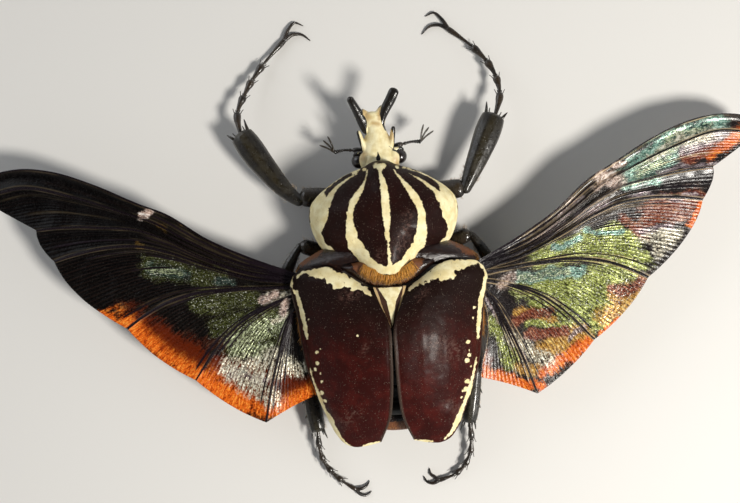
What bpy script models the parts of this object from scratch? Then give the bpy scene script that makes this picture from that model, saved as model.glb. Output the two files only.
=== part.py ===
"""A goliath beetle with its hind wings spread, modelled at life size.

+Z is up, +Y points to the head and +X to the beetle's own right. The origin is on the floor,
under the flat of the breastplate that the beetle rests on. Shapes are drawn in hundredths of
the body's length, which are millimetres on a beetle 100 mm long, and scaled to metres at the end.
"""

import math

import bmesh
import bpy
import numpy as np
from mathutils import Matrix, Vector

BODY_LENGTH = 0.100  # metres, from the horn's tips to the ends of the wing cases
UNIT = BODY_LENGTH / 100
GAP = 0.32  # between pieces that touch
RIGHT, LEFT = 1, -1
SIDES = {RIGHT: "right", LEFT: "left"}

HEAD_TURN = math.radians(3.0)  # the head looks a little to the beetle's left
HEAD_PIVOT = (0.0, 42.0)
CASES_TURN = math.radians(-1.0)  # the pair of wing cases lies a little askew
CASES_PIVOT = (0.0, 6.0)

SHELL_THICKNESS = 0.9
MEMBRANE_THICKNESS = 0.5
WING_LEVEL = 13.3  # height of the wing's root
WING_SWEEP = {RIGHT: 0.0, LEFT: math.radians(-4.0)}
WING_SPREAD = {RIGHT: 1.0, LEFT: 1.045}  # the left wing is unfolded further

FINISHES = {
    # name: (colour, roughness, metallic)
    "cream_scale": ((0.80, 0.73, 0.52, 1.0), 0.55, 0.0),
    "maroon_velvet": ((0.075, 0.018, 0.014, 1.0), 0.45, 0.0),
    "black_chitin": ((0.022, 0.018, 0.012, 1.0), 0.25, 0.0),
    "brown_chitin": ((0.060, 0.036, 0.018, 1.0), 0.35, 0.0),
    "rust_velvet": ((0.36, 0.13, 0.03, 1.0), 0.75, 0.0),
    "wing_membrane": ((0.16, 0.15, 0.07, 1.0), 0.30, 0.4),
    "eye_black": ((0.010, 0.009, 0.008, 1.0), 0.12, 0.0),
}


# Curves and profiles


def smooth(knots, values, at):
    """Reads a smooth curve through the values at rising knots."""
    knots = np.asarray(knots, float)
    values = np.asarray(values, float)
    flat = values.ndim == 1
    values = values.reshape(len(knots), -1)
    at = np.clip(np.atleast_1d(np.asarray(at, float)), knots[0], knots[-1])
    steps = np.diff(knots)[:, None]
    slopes = np.diff(values, axis=0) / steps
    tangents = np.vstack([slopes[:1], slopes[-1:]])
    if len(knots) > 2:
        inner = (slopes[:-1] * steps[1:] + slopes[1:] * steps[:-1]) / (steps[:-1] + steps[1:])
        tangents = np.vstack([slopes[:1], inner, slopes[-1:]])
    i = np.clip(np.searchsorted(knots, at, side="right") - 1, 0, len(knots) - 2)
    step = steps[i]
    t = ((at - knots[i])[:, None]) / step
    found = (
        (2 * t**3 - 3 * t**2 + 1) * values[i]
        + (t**3 - 2 * t**2 + t) * step * tangents[i]
        + (3 * t**2 - 2 * t**3) * values[i + 1]
        + (t**3 - t**2) * step * tangents[i + 1]
    )
    return found[:, 0] if flat else found


def profile(*pairs):
    """A smooth function through (place, value) pairs."""
    knots, values = zip(*pairs)
    return lambda at: smooth(knots, values, at)


def curve(*points):
    """A smooth curve through a few points, read from 0 at its start to 1 at its end."""
    points = np.array(points, float)
    lengths = np.linalg.norm(np.diff(points, axis=0), axis=1)
    knots = np.concatenate([[0.0], np.cumsum(lengths)]) / lengths.sum()
    return lambda at: smooth(knots, points, at)


def turned(points, angle, pivot):
    """Points turned about a vertical axis through the pivot."""
    points = np.array(points, float)
    x = points[..., 0] - pivot[0]
    y = points[..., 1] - pivot[1]
    points[..., 0] = pivot[0] + x * math.cos(angle) - y * math.sin(angle)
    points[..., 1] = pivot[1] + x * math.sin(angle) + y * math.cos(angle)
    return points


def mirrored(points, side):
    """The points on the beetle's right side, or their mirror image on its left."""
    return np.array(points, float) * np.array([side, 1.0, 1.0])


# Closed meshes


def mesh_object(name, points, faces):
    """An object from points and faces, with its faces pointing out."""
    shape = bmesh.new()
    corners = [shape.verts.new(p) for p in points]
    for face in faces:
        shape.faces.new([corners[i] for i in face])
    bmesh.ops.recalc_face_normals(shape, faces=shape.faces)
    mesh = bpy.data.meshes.new(name)
    shape.to_mesh(mesh)
    shape.free()
    obj = bpy.data.objects.new(name, mesh)
    bpy.context.scene.collection.objects.link(obj)
    return obj


def lofted(name, rings):
    """A closed skin over rings of points, with a flat cap at each end."""
    count, sides = rings.shape[:2]
    faces = [range(sides), range((count - 1) * sides, count * sides)]
    for i in range(count - 1):
        for j in range(sides):
            k = (j + 1) % sides
            faces.append((i * sides + j, i * sides + k, (i + 1) * sides + k, (i + 1) * sides + j))
    return mesh_object(name, rings.reshape(-1, 3), faces)


def sheet(name, upper, lower):
    """A closed sheet between two like grids, split into triangles alike on both faces."""
    rows, columns = upper.shape[:2]
    points = np.concatenate([upper.reshape(-1, 3), lower.reshape(-1, 3)])
    below = rows * columns
    faces = []
    for i in range(rows - 1):
        for j in range(columns - 1):
            a, b = i * columns + j, i * columns + j + 1
            c, d = b + columns, a + columns
            for corners in ((a, b, c), (a, c, d)):
                faces.append(corners)
                faces.append([below + k for k in reversed(corners)])
    rim = [j for j in range(columns)]
    rim += [i * columns + columns - 1 for i in range(1, rows)]
    rim += [(rows - 1) * columns + j for j in range(columns - 2, -1, -1)]
    rim += [i * columns for i in range(rows - 2, 0, -1)]
    for a, b in zip(rim, rim[1:] + rim[:1]):
        faces.append((a, b, below + b))
        faces.append((a, below + b, below + a))
    return mesh_object(name, points, faces)


def section(sides, power):
    """A ring of (across, up) points: round at power 2 and squarer above it."""
    angles = (np.arange(sides) + 0.5) * 2 * math.pi / sides
    c, s = np.cos(angles), np.sin(angles)
    return np.stack(
        [np.sign(c) * np.abs(c) ** (2 / power), np.sign(s) * np.abs(s) ** (2 / power)], axis=1
    )


def tube(name, path, width, height, sides, stations, power=2.0, grow=0.0):
    """A bar along a path, with half widths and half heights read at the stations from 0 to 1."""
    stations = np.asarray(stations, float)
    centres = path(stations)
    ahead = path(np.minimum(stations + 0.01, 1.0)) - path(np.maximum(stations - 0.01, 0.0))
    ahead /= np.linalg.norm(ahead, axis=1)[:, None]
    across = np.cross(ahead, (0.0, 0.0, 1.0))
    across /= np.linalg.norm(across, axis=1)[:, None]
    up = np.cross(across, ahead)
    centres[0] -= ahead[0] * grow
    centres[-1] += ahead[-1] * grow
    half_width = width(stations) + grow
    half_height = height(stations) + grow
    ring = section(sides, power)
    rings = (
        centres[:, None]
        + ring[None, :, :1] * (across * half_width[:, None])[:, None]
        + ring[None, :, 1:] * (up * half_height[:, None])[:, None]
    )
    return lofted(name, rings)


def trunk(name, stations, sides, top_power, bottom_power, grow=0.0):
    """A length of the body from (y, half width, widest level, top, bottom) stations."""
    stations = np.array(stations, float)
    ring = section(sides, top_power)
    under = section(sides, bottom_power)
    low = ring[:, 1] < 0
    rings = []
    for y, half_width, level, top, bottom in stations:
        points = np.empty((sides, 3))
        points[:, 0] = np.where(low, under[:, 0], ring[:, 0]) * (half_width + grow)
        points[:, 1] = y
        points[:, 2] = level + np.where(
            low, under[:, 1] * (level - bottom + grow), ring[:, 1] * (top - level + grow)
        )
        rings.append(points)
    rings[0][:, 1] += grow * np.sign(stations[0, 0] - stations[1, 0])
    rings[-1][:, 1] += grow * np.sign(stations[-1, 0] - stations[-2, 0])
    return lofted(name, np.array(rings))


# Booleans


def remove(obj):
    mesh = obj.data
    bpy.data.objects.remove(obj)
    bpy.data.meshes.remove(mesh)


def apply_modifiers(obj):
    graph = bpy.context.evaluated_depsgraph_get()
    mesh = bpy.data.meshes.new_from_object(obj.evaluated_get(graph))
    old = obj.data
    obj.modifiers.clear()
    obj.data = mesh
    bpy.data.meshes.remove(old)


def islands(shape):
    """The faces of each separate surface in a bmesh."""
    left = set(shape.faces)
    found = []
    while left:
        stack = [left.pop()]
        island = list(stack)
        while stack:
            for edge in stack.pop().edges:
                for face in edge.link_faces:
                    if face in left:
                        left.remove(face)
                        stack.append(face)
                        island.append(face)
        found.append(island)
    return found


def keep_largest(obj):
    """Drops every surface but the one that covers the widest box."""

    def reach(island):
        points = np.array([v.co for face in island for v in face.verts])
        return float(np.linalg.norm(points.max(axis=0) - points.min(axis=0)))

    shape = bmesh.new()
    shape.from_mesh(obj.data)
    found = sorted(islands(shape), key=reach)
    loose = [face for island in found[:-1] for face in island]
    if loose:
        bmesh.ops.delete(shape, geom=loose, context="FACES")
        shape.to_mesh(obj.data)
    shape.free()


def fused(obj, *others):
    """Joins closed pieces into one by a Boolean union, and removes the others."""
    pieces = bpy.data.collections.new("pieces")
    for other in others:
        pieces.objects.link(other)
    union = obj.modifiers.new("union", "BOOLEAN")
    union.operation = "UNION"
    union.solver = "MANIFOLD"
    union.operand_type = "COLLECTION"
    union.collection = pieces
    apply_modifiers(obj)
    for other in others:
        remove(other)
    bpy.data.collections.remove(pieces)
    keep_largest(obj)
    return obj


def cleared(obj, *cutters):
    """Cuts an object back from grown copies of its neighbours, which are then removed."""
    for cutter in cutters:
        cut = obj.modifiers.new("cut", "BOOLEAN")
        cut.operation = "DIFFERENCE"
        cut.solver = "MANIFOLD"
        cut.object = cutter
        apply_modifiers(obj)
        remove(cutter)
    keep_largest(obj)
    return obj


def pressed_to_floor(obj):
    """Flattens whatever reaches below the floor, which leaves small flats at one level."""
    for vertex in obj.data.vertices:
        vertex.co.z = max(vertex.co.z, 0.0)
    return obj


# Materials and the finished nodes


def finish_material(name):
    colour, roughness, metallic = FINISHES[name]
    material = bpy.data.materials.get(name)
    if material is None:
        material = bpy.data.materials.new(name)
        material.use_nodes = True
        shader = material.node_tree.nodes["Principled BSDF"]
        shader.inputs["Base Color"].default_value = colour
        shader.inputs["Roughness"].default_value = roughness
        shader.inputs["Metallic"].default_value = metallic
        material.diffuse_color = colour
    return material


def node(obj, name, material, root, beetle):
    """Scales a piece to metres about its root, names it and hangs it on the beetle."""
    obj.name = name
    obj.data.name = name
    obj.data.transform(Matrix.Scale(UNIT, 4) @ Matrix.Translation(-Vector(root)))
    obj.location = Vector(root) * UNIT
    obj.data.materials.clear()
    obj.data.materials.append(finish_material(material))
    obj.data.shade_smooth()
    obj.data.set_sharp_from_angle(angle=math.radians(40))
    obj.parent = beetle
    return obj


# Prothorax: the striped shield behind the head

SHIELD_CENTRE = (0.0, 26.0)
SHIELD_PEAK = 27.4
SHIELD_FLOOR = 4.6
SHIELD_RIM = [
    (0.0, 42.3), (2.4, 41.9), (4.6, 40.9), (8.0, 39.9), (11.8, 38.3), (15.2, 36.2), (18.4, 33.8),
    (20.7, 31.0), (21.4, 27.8), (21.0, 24.6), (19.9, 21.3), (18.0, 18.2), (15.2, 16.7),
    (12.2, 15.7), (9.2, 14.1), (6.8, 12.0), (3.8, 10.5), (0.0, 9.9),
]


def shield_rim(count, grow=0.0):
    """Points round the shield's edge, with the height of the edge at each."""
    half = curve(*SHIELD_RIM)(np.linspace(0, 1, count // 2 + 1))
    plan = np.concatenate([half, half[-2:0:-1] * (-1, 1)])
    out = plan - SHIELD_CENTRE
    plan = plan + out / np.linalg.norm(out, axis=1)[:, None] * grow
    x, y = plan.T
    hood = 4.6 * np.exp(-((x / 5.5) ** 2)) * np.clip((y - 36) / 5, 0, 1)
    lobe = 11.4 * np.exp(-((x / 9.5) ** 2)) * np.clip((20 - y) / 6, 0, 1)
    return np.column_stack([plan, 13.2 + hood + lobe])


def prothorax_shape(name="prothorax", count=32, levels=6, grow=0.0):
    """A domed shield above a shallower breast, meeting at a thin edge all round."""
    rim = shield_rim(count, grow)
    shares = np.sin(np.linspace(0, math.pi / 2, levels + 1))[1:]
    points = [(*SHIELD_CENTRE, SHIELD_FLOOR - grow), (*SHIELD_CENTRE, SHIELD_PEAK + grow)]
    for share in shares[:-1]:
        plan = np.array(SHIELD_CENTRE) + (rim[:, :2] - SHIELD_CENTRE) * share
        dome = (1 - share**2.5) ** 0.62
        keel = (1 - share**2.2) ** 0.55
        top = rim[:, 2] + (SHIELD_PEAK - rim[:, 2]) * dome + grow
        bottom = rim[:, 2] - (rim[:, 2] - SHIELD_FLOOR) * keel - grow
        points += [(*p, z) for p, z in zip(plan, bottom)]
        points += [(*p, z) for p, z in zip(plan, top)]
    points += [tuple(p) for p in rim]
    faces = []
    for side in (0, 1):
        starts = [2 + (2 * k + side) * count for k in range(levels - 1)]
        starts.append(2 + 2 * (levels - 1) * count)
        for j in range(count):
            k = (j + 1) % count
            faces.append((side, starts[0] + j, starts[0] + k))
            for a, b in zip(starts, starts[1:]):
                faces.append((a + j, b + j, b + k))
                faces.append((a + j, b + k, a + k))
    return mesh_object(name, points, faces)


def make_prothorax(beetle):
    return node(prothorax_shape(), "prothorax", "maroon_velvet", (*SHIELD_CENTRE, 13.2), beetle)


# Head, with its forked horn, eyes, feelers and mouth

HEAD_STATIONS = [
    # y, half width, widest level, top, bottom
    (36.5, 6.6, 11.6, 15.2, 7.0), (39.5, 7.0, 11.4, 16.2, 6.6), (42.0, 6.6, 11.2, 16.5, 6.2),
    (44.2, 5.6, 11.2, 16.2, 6.2), (46.4, 4.9, 11.4, 15.8, 6.6), (48.8, 4.7, 11.7, 15.4, 7.4),
    (51.0, 4.0, 12.2, 15.2, 8.6), (53.0, 2.9, 12.9, 15.2, 10.2), (54.6, 2.3, 13.5, 15.4, 11.6),
]
LOBE = ((4.0, 45.6, 12.6), (4.9, 48.6, 13.6), (5.4, 52.0, 15.4))
HORN_STEM = ((0.0, 51.2, 12.6), (0.0, 54.2, 13.4), (0.0, 56.6, 14.2))
HORN_PRONG = ((0.6, 54.2, 13.6), (2.6, 57.0, 14.5), (4.6, 59.4, 15.4), (6.4, 61.5, 16.6))
EYE = (6.1, 43.3, 10.9)
EYE_RADIUS = 2.15
FEELER = ((4.0, 46.3, 10.4), (7.0, 46.7, 10.2), (9.8, 47.1, 9.8), (12.7, 46.9, 9.4))
CLUB_LEAVES = ((1.4, 5.0), (2.9, 4.0), (4.2, 2.8))  # how far each leaf reaches out and ahead
PALP = ((1.9, 48.6, 7.6), (2.8, 50.6, 6.9), (3.4, 52.6, 6.8), (3.6, 54.2, 7.3))


def head_turned(obj):
    """Turns a piece of the head with the head."""
    pivot = Matrix.Translation((*HEAD_PIVOT, 0.0))
    obj.data.transform(pivot @ Matrix.Rotation(HEAD_TURN, 4, "Z") @ pivot.inverted())
    return obj


def head_box(grow=0.0):
    return trunk("head", HEAD_STATIONS, 20, 2.3, 2.4, grow)


def ear_lobe(side):
    """The flat black-tipped lobe that stands in front of each eye."""
    width = profile((0, 0.75), (0.6, 0.7), (0.9, 0.55), (1, 0.3))
    height = profile((0, 1.5), (0.5, 1.25), (0.85, 0.95), (1, 0.45))
    path = curve(*mirrored(LOBE, side))
    return tube("lobe", path, width, height, 8, (0, 0.3, 0.6, 0.85, 1))


def make_head(beetle):
    head = fused(head_box(), ear_lobe(RIGHT), ear_lobe(LEFT))
    cleared(head_turned(head), prothorax_shape(grow=GAP))
    return node(head, "head", "cream_scale", (*HEAD_PIVOT, 11.0), beetle)


def horn_prong(side):
    width = profile((0, 1.5), (0.5, 1.3), (0.9, 1.25), (1, 0.8))
    height = profile((0, 1.3), (0.5, 1.15), (0.9, 1.1), (1, 0.7))
    path = curve(*mirrored(HORN_PRONG, side))
    return tube("prong", path, width, height, 8, (0, 0.25, 0.5, 0.75, 0.93, 1), power=2.4)


def make_horn(beetle):
    stem = tube(
        "horn", curve(*HORN_STEM), profile((0, 3.0), (0.5, 2.3), (1, 2.0)),
        profile((0, 2.0), (0.5, 1.5), (1, 1.2)), 12, (0, 0.35, 0.7, 1), power=2.4,
    )
    horn = fused(stem, horn_prong(RIGHT), horn_prong(LEFT))
    cleared(horn, head_box(grow=GAP))
    return node(head_turned(horn), "horn", "black_chitin", (*HEAD_PIVOT, 13.0), beetle)


def make_eye(side, beetle):
    shape = bmesh.new()
    bmesh.ops.create_uvsphere(shape, u_segments=12, v_segments=8, radius=EYE_RADIUS)
    centre = Matrix.Translation(tuple(mirrored(EYE, side)))
    bmesh.ops.transform(shape, matrix=centre @ Matrix.Rotation(math.pi / 2, 4, "Y"), verts=shape.verts)
    mesh = bpy.data.meshes.new("eye")
    shape.to_mesh(mesh)
    shape.free()
    eye = bpy.data.objects.new("eye", mesh)
    bpy.context.scene.collection.objects.link(eye)
    cleared(head_turned(cleared(eye, head_box(grow=GAP))), prothorax_shape(grow=GAP))
    return node(eye, f"eye_{SIDES[side]}", "eye_black", tuple(mirrored(EYE, side)), beetle)


def club_leaf(side, tip, out, ahead):
    """One leaf of the feeler's club, a flat blade that starts at the club's root."""
    points = [tip, tip + (0.5 * out - 0.1, 0.5 * ahead, 0.2), tip + (out, ahead, 0.5)]
    width = profile((0, 0.35), (0.5, 0.62), (0.85, 0.55), (1, 0.25))
    height = profile((0, 0.35), (0.5, 0.3), (1, 0.22))
    return tube("leaf", curve(*mirrored(points, side)), width, height, 6, (0, 0.3, 0.65, 0.9, 1))


def make_feeler(side, beetle):
    """A thick first joint, a beaded stalk and a club of three leaves."""
    width = profile((0, 0.55), (0.3, 0.8), (0.5, 0.7), (0.58, 0.4), (0.8, 0.5), (1, 0.6))
    stalk = tube(
        "feeler", curve(*mirrored(FEELER, side)), width, width, 6, (0, 0.2, 0.4, 0.55, 0.66, 0.8, 1)
    )
    tip = np.array(FEELER[-1]) - (0.2, 0.2, 0.0)
    leaves = [club_leaf(side, tip, out, ahead) for out, ahead in CLUB_LEAVES]
    feeler = fused(stalk, *leaves)
    cleared(feeler, head_box(grow=GAP))
    name = f"antenna_{SIDES[side]}"
    return node(head_turned(feeler), name, "black_chitin", tuple(mirrored(FEELER[0], side)), beetle)


def make_mouthparts(beetle):
    """The chin plate under the head, with a jointed palp on each side."""
    chin = trunk(
        "mouthparts",
        [(44.0, 3.0, 6.9, 8.2, 5.7), (46.5, 3.4, 6.7, 8.6, 5.4), (49.4, 2.9, 7.2, 9.4, 6.0),
         (51.0, 1.8, 7.8, 9.4, 6.8)],
        12, 2.4, 2.4,
    )
    width = profile((0, 0.5), (0.3, 0.55), (0.36, 0.4), (0.65, 0.5), (0.7, 0.38), (0.95, 0.42), (1, 0.25))
    stations = (0, 0.2, 0.34, 0.6, 0.7, 0.92, 1)
    palps = [tube("palp", curve(*mirrored(PALP, s)), width, width, 6, stations) for s in SIDES]
    mouth = fused(chin, *palps)
    cleared(mouth, head_box(grow=GAP))
    return node(head_turned(mouth), "mouthparts", "brown_chitin", (0.0, 46.0, 7.0), beetle)


# Trunk: middle and rear thorax, the plates between the wing cases, and the abdomen

MESOTHORAX_STATIONS = [
    (20.5, 11.0, 12.8, 18.5, 6.0), (18.6, 17.6, 12.9, 20.4, 5.2), (16.6, 22.0, 12.7, 21.4, 4.6),
    (14.6, 25.2, 12.2, 21.6, 3.8), (13.1, 26.2, 11.8, 21.2, 3.2),
]
METATHORAX_STATIONS = [
    (12.7, 26.0, 11.4, 20.6, 2.6), (10.5, 26.7, 11.0, 21.8, 1.0), (7.5, 27.0, 10.8, 22.9, -0.2),
    (3.0, 27.1, 10.6, 23.8, -0.5), (-2.0, 27.1, 10.6, 24.2, -0.5), (-5.5, 26.9, 10.8, 24.1, 0.2),
    (-8.0, 26.4, 11.2, 23.8, 1.6),
]
KEEL_STATIONS = [
    (10.0, 3.6, 1.7, 2.6, 0.7), (12.4, 3.2, 1.6, 2.7, 0.6), (14.4, 2.7, 2.1, 3.1, 1.1),
    (16.6, 2.0, 2.8, 3.8, 1.9), (18.0, 1.1, 3.3, 4.0, 2.7),
]
ABDOMEN_START, ABDOMEN_END = -8.4, -30.4
ABDOMEN_WIDTH = profile((-30.4, 12.0), (-27.5, 14.8), (-23, 18.4), (-18, 21.3), (-13, 24.0), (-8.4, 25.9))
ABDOMEN_TOP = profile((-30.4, 14.4), (-27.5, 15.8), (-23, 18.0), (-18, 20.6), (-13, 22.6), (-8.4, 23.6))
ABDOMEN_BOTTOM = profile((-30.4, 6.6), (-27.5, 5.9), (-23, 5.2), (-18, 4.8), (-13, 4.7), (-8.4, 4.7))
ABDOMEN_LEVEL = 11.2
SEGMENTS = 5
GROOVE = 0.45  # depth of the groove between two plates of the abdomen


def metathorax_shape(grow=0.0):
    return trunk("metathorax", METATHORAX_STATIONS, 32, 2.2, 2.5, grow)


def mesothorax_shape(grow=0.0):
    return trunk("mesothorax", MESOTHORAX_STATIONS, 28, 2.3, 2.4, grow)


def abdomen_stations():
    """Each plate of the abdomen swells and dips again at its rear groove."""
    stations = []
    for y, share in abdomen_places():
        dip = GROOVE * (1 - min(1.0, 4 * share * (1 - share)) ** 0.5)
        stations.append(
            (y, ABDOMEN_WIDTH(y)[0] - dip, ABDOMEN_LEVEL, ABDOMEN_TOP(y)[0] - dip, ABDOMEN_BOTTOM(y)[0] + dip)
        )
    return stations


def abdomen_places():
    """(y, share of the way along its plate) for each ring of the abdomen."""
    length = (ABDOMEN_END - ABDOMEN_START) / SEGMENTS
    for k in range(SEGMENTS):
        for share in (0.0, 0.3, 0.75):
            yield ABDOMEN_START + (k + share) * length, share
    yield ABDOMEN_END, 1.0


def breast_keel(grow=0.0):
    """The blunt tongue of the breastplate that reaches forward between the middle legs."""
    return trunk("keel", KEEL_STATIONS, 12, 2.2, 2.2, grow)


def make_metathorax(beetle):
    cutters = [case_hollow(RIGHT), case_hollow(LEFT), prothorax_shape(grow=GAP)]
    thorax = pressed_to_floor(fused(cleared(metathorax_shape(), *cutters), breast_keel()))
    return node(thorax, "metathorax", "brown_chitin", (0.0, 2.0, 11.0), beetle)


def make_mesothorax(beetle):
    thorax = cleared(mesothorax_shape(), prothorax_shape(grow=GAP))
    return node(thorax, "mesothorax", "rust_velvet", (0.0, 14.0, 12.0), beetle)


def abdomen_shape(grow=0.0):
    return trunk("abdomen", abdomen_stations(), 28, 2.2, 2.4, grow)


def make_abdomen(beetle):
    return node(abdomen_shape(), "abdomen", "black_chitin", (0.0, ABDOMEN_START, 11.0), beetle)


TAIL_STATIONS = [
    # how far behind the abdomen, half width, widest level, top, bottom
    (0.0, 11.4, 10.6, 14.0, 6.8), (1.2, 11.0, 10.6, 13.9, 6.9), (2.4, 9.8, 10.5, 13.4, 7.2),
    (3.5, 7.6, 10.4, 12.6, 7.9), (4.3, 4.8, 10.3, 11.7, 8.8), (4.7, 2.4, 10.2, 10.9, 9.6),
]


def make_pygidium(beetle):
    """The last plate, a domed shield that closes the abdomen below the wing cases' ends."""
    start = ABDOMEN_END - GAP
    stations = [(start - back, *rest) for back, *rest in TAIL_STATIONS]
    tail = trunk("pygidium", stations, 20, 2.2, 2.2)
    return node(tail, "pygidium", "rust_velvet", (0.0, start, 10.5), beetle)


MESOSCUTUM_PLAN = ((0.0, 14.5), (9.0, 14.2), (13.6, 12.9), (10.8, 10.5), (8.1, 8.5), (5.0, 7.1), (0.0, 7.1))


def make_mesoscutum(beetle):
    """The bristly plate between the shield's rear edge and the scutellum."""
    right = np.array(MESOSCUTUM_PLAN)
    plan = np.concatenate([right, right[-2:0:-1] * (-1, 1)])
    levels = [(z, shrink) for z, shrink in ((19.0, 1.0), (23.2, 1.0), (23.9, 0.93))]
    middle = plan.mean(axis=0)
    rings = [np.column_stack([middle + (plan - middle) * k, np.full(len(plan), z)]) for z, k in levels]
    rings[-1][:, 2] -= 0.05 * np.abs(rings[-1][:, 0])
    plate = lofted("mesoscutum", np.array(rings))
    cleared(plate, prothorax_shape(grow=GAP), metathorax_shape(GAP), mesothorax_shape(GAP))
    return node(plate, "mesoscutum", "rust_velvet", (0.0, 10.0, 22.0), beetle)


SCUTELLUM_FRONT, SCUTELLUM_TIP = 6.75, -4.0
SCUTELLUM_HALF_WIDTH = 4.5


def scutellum_height(y):
    return 23.9 + 3.0 * ((SCUTELLUM_FRONT - y) / (SCUTELLUM_FRONT - SCUTELLUM_TIP)) ** 0.6


def make_scutellum(beetle):
    """The pale wedge that fills the angle between the wing cases."""
    rings = []
    for share in (0.0, 0.25, 0.5, 0.75, 1.0):
        y = SCUTELLUM_FRONT + (SCUTELLUM_TIP - SCUTELLUM_FRONT) * share
        half = SCUTELLUM_HALF_WIDTH * (1 - share) + 0.3 * share
        top = scutellum_height(y)
        rings.append([(-half, y, 22.0), (-half, y, top - 0.5), (0.0, y, top), (half, y, top - 0.5), (half, y, 22.0)])
    wedge = lofted("scutellum", np.array(rings))
    cleared(wedge, metathorax_shape(GAP))
    wedge.data.transform(turn_of_cases())
    return node(wedge, "scutellum", "cream_scale", (0.0, 4.0, 25.0), beetle)


# Wing cases

CASE_SUTURE = curve(
    (5.0, 6.25), (2.7, 1.5), (0.75, -3.0), (0.3, -5.2), (0.25, -11.0), (0.35, -17.0), (0.95, -23.5),
    (2.2, -29.5), (4.8, -37.4),
)
CASE_FRONT = curve(
    (5.0, 6.25), (8.4, 8.3), (11.3, 10.4), (14.6, 12.4), (18.0, 13.2), (22.0, 13.0), (25.0, 12.5), (27.0, 11.0)
)
CASE_SIDE = curve(
    (27.0, 11.0), (28.0, 8.4), (27.6, 4.6), (26.5, -1.0), (25.8, -8.0), (25.0, -14.0), (23.3, -20.2),
    (21.2, -26.2), (19.3, -31.0),
)
CASE_REAR = curve((4.8, -37.4), (9.0, -38.3), (12.2, -38.5), (14.8, -37.5), (17.2, -34.9), (19.3, -31.0))
CASE_CREST = profile(
    (0, 22.6), (0.05, 24.9), (0.12, 26.6), (0.25, 27.8), (0.45, 27.2), (0.65, 25.0), (0.82, 21.6),
    (0.93, 18.9), (1, 16.6),
)
CASE_EDGE = profile((0, 16.4), (0.2, 16.1), (0.5, 15.8), (0.8, 15.3), (1, 14.2))


def case_bumps(s, t):
    """The shoulder knob and the knob near the rear end."""
    shoulder = 0.8 * np.exp(-(((s - 0.07) / 0.06) ** 2) - ((t - 0.78) / 0.14) ** 2)
    rear = 0.9 * np.exp(-(((s - 0.84) / 0.06) ** 2) - ((t - 0.6) / 0.16) ** 2)
    return shoulder + rear


def case_surface(s, t):
    """The right wing case's outer face: s runs from front to rear, t from the suture outwards."""
    s, t = np.meshgrid(s, t, indexing="ij")
    shape = s.shape
    s, t = s.ravel(), t.ravel()
    corner = lambda a, b: a[None] * b[:, None]
    front, rear = CASE_FRONT(t), CASE_REAR(t)
    inner, outer = CASE_SUTURE(s), CASE_SIDE(s)
    plan = (
        front * (1 - s)[:, None] + rear * s[:, None] + inner * (1 - t)[:, None] + outer * t[:, None]
        - corner(CASE_SUTURE(0)[0], (1 - s) * (1 - t)) - corner(CASE_SIDE(0)[0], (1 - s) * t)
        - corner(CASE_SUTURE(1)[0], s * (1 - t)) - corner(CASE_SIDE(1)[0], s * t)
    )
    crest, edge = CASE_CREST(s), CASE_EDGE(s)
    height = crest - (crest - edge) * t**2.8 + case_bumps(s, t)
    return np.column_stack([plan, height]).reshape(*shape, 3)


def surface_normals(grid):
    """Unit normals of a grid of points, pointing up."""
    along = np.gradient(grid, axis=0)
    across = np.gradient(grid, axis=1)
    normals = np.cross(along, across)
    normals /= np.linalg.norm(normals, axis=2)[:, :, None]
    return normals * np.where(normals[:, :, 2:] < 0, -1.0, 1.0)


def turn_of_cases():
    pivot = Matrix.Translation((*CASES_PIVOT, 0.0))
    return pivot @ Matrix.Rotation(CASES_TURN, 4, "Z") @ pivot.inverted()


def case_hollow(side):
    """The room above a sheet that lies a gap below the wing case and flares out past its edge."""
    upper = case_surface(np.linspace(0, 1, 9), np.array((0, 0.25, 0.45, 0.62, 0.76, 0.88, 0.95, 1)))
    inward = surface_normals(upper)
    inward[:, 0] = (0.0, 0.0, 1.0)
    floor = upper - inward * (SHELL_THICKNESS + GAP) - (0.0, 0.0, GAP)
    flare = upper[:, -1:] + (4.0, 0.0, -SHELL_THICKNESS)
    floor = np.concatenate([floor[:, :1] - (1.0, 0.0, 0.0), floor, flare], axis=1)
    floor = np.concatenate([floor[:1] + (0.0, 1.5, 0.0), floor])
    hollow = sheet("hollow", mirrored(floor + (0.0, 0.0, 12.0), side), mirrored(floor, side))
    hollow.data.transform(turn_of_cases())
    return hollow


def make_wing_case(side, beetle):
    """A thin domed shell, open below."""
    s = np.array((0, 0.04, 0.1, 0.18, 0.28, 0.39, 0.5, 0.61, 0.71, 0.8, 0.88, 0.95, 1))
    t = np.array((0, 0.18, 0.35, 0.5, 0.63, 0.74, 0.83, 0.9, 0.95, 1))
    upper = case_surface(s, t)
    inward = surface_normals(upper)
    inward[:, 0] = (0.0, 0.0, 1.0)
    lower = upper - inward * SHELL_THICKNESS
    case = sheet("case", mirrored(upper, side), mirrored(lower, side))
    case.data.transform(turn_of_cases())
    name = f"elytron_{SIDES[side]}"
    return node(case, name, "maroon_velvet", tuple(mirrored((6.0, 6.5, 23.5), side)), beetle)


# Hind wings

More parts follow.
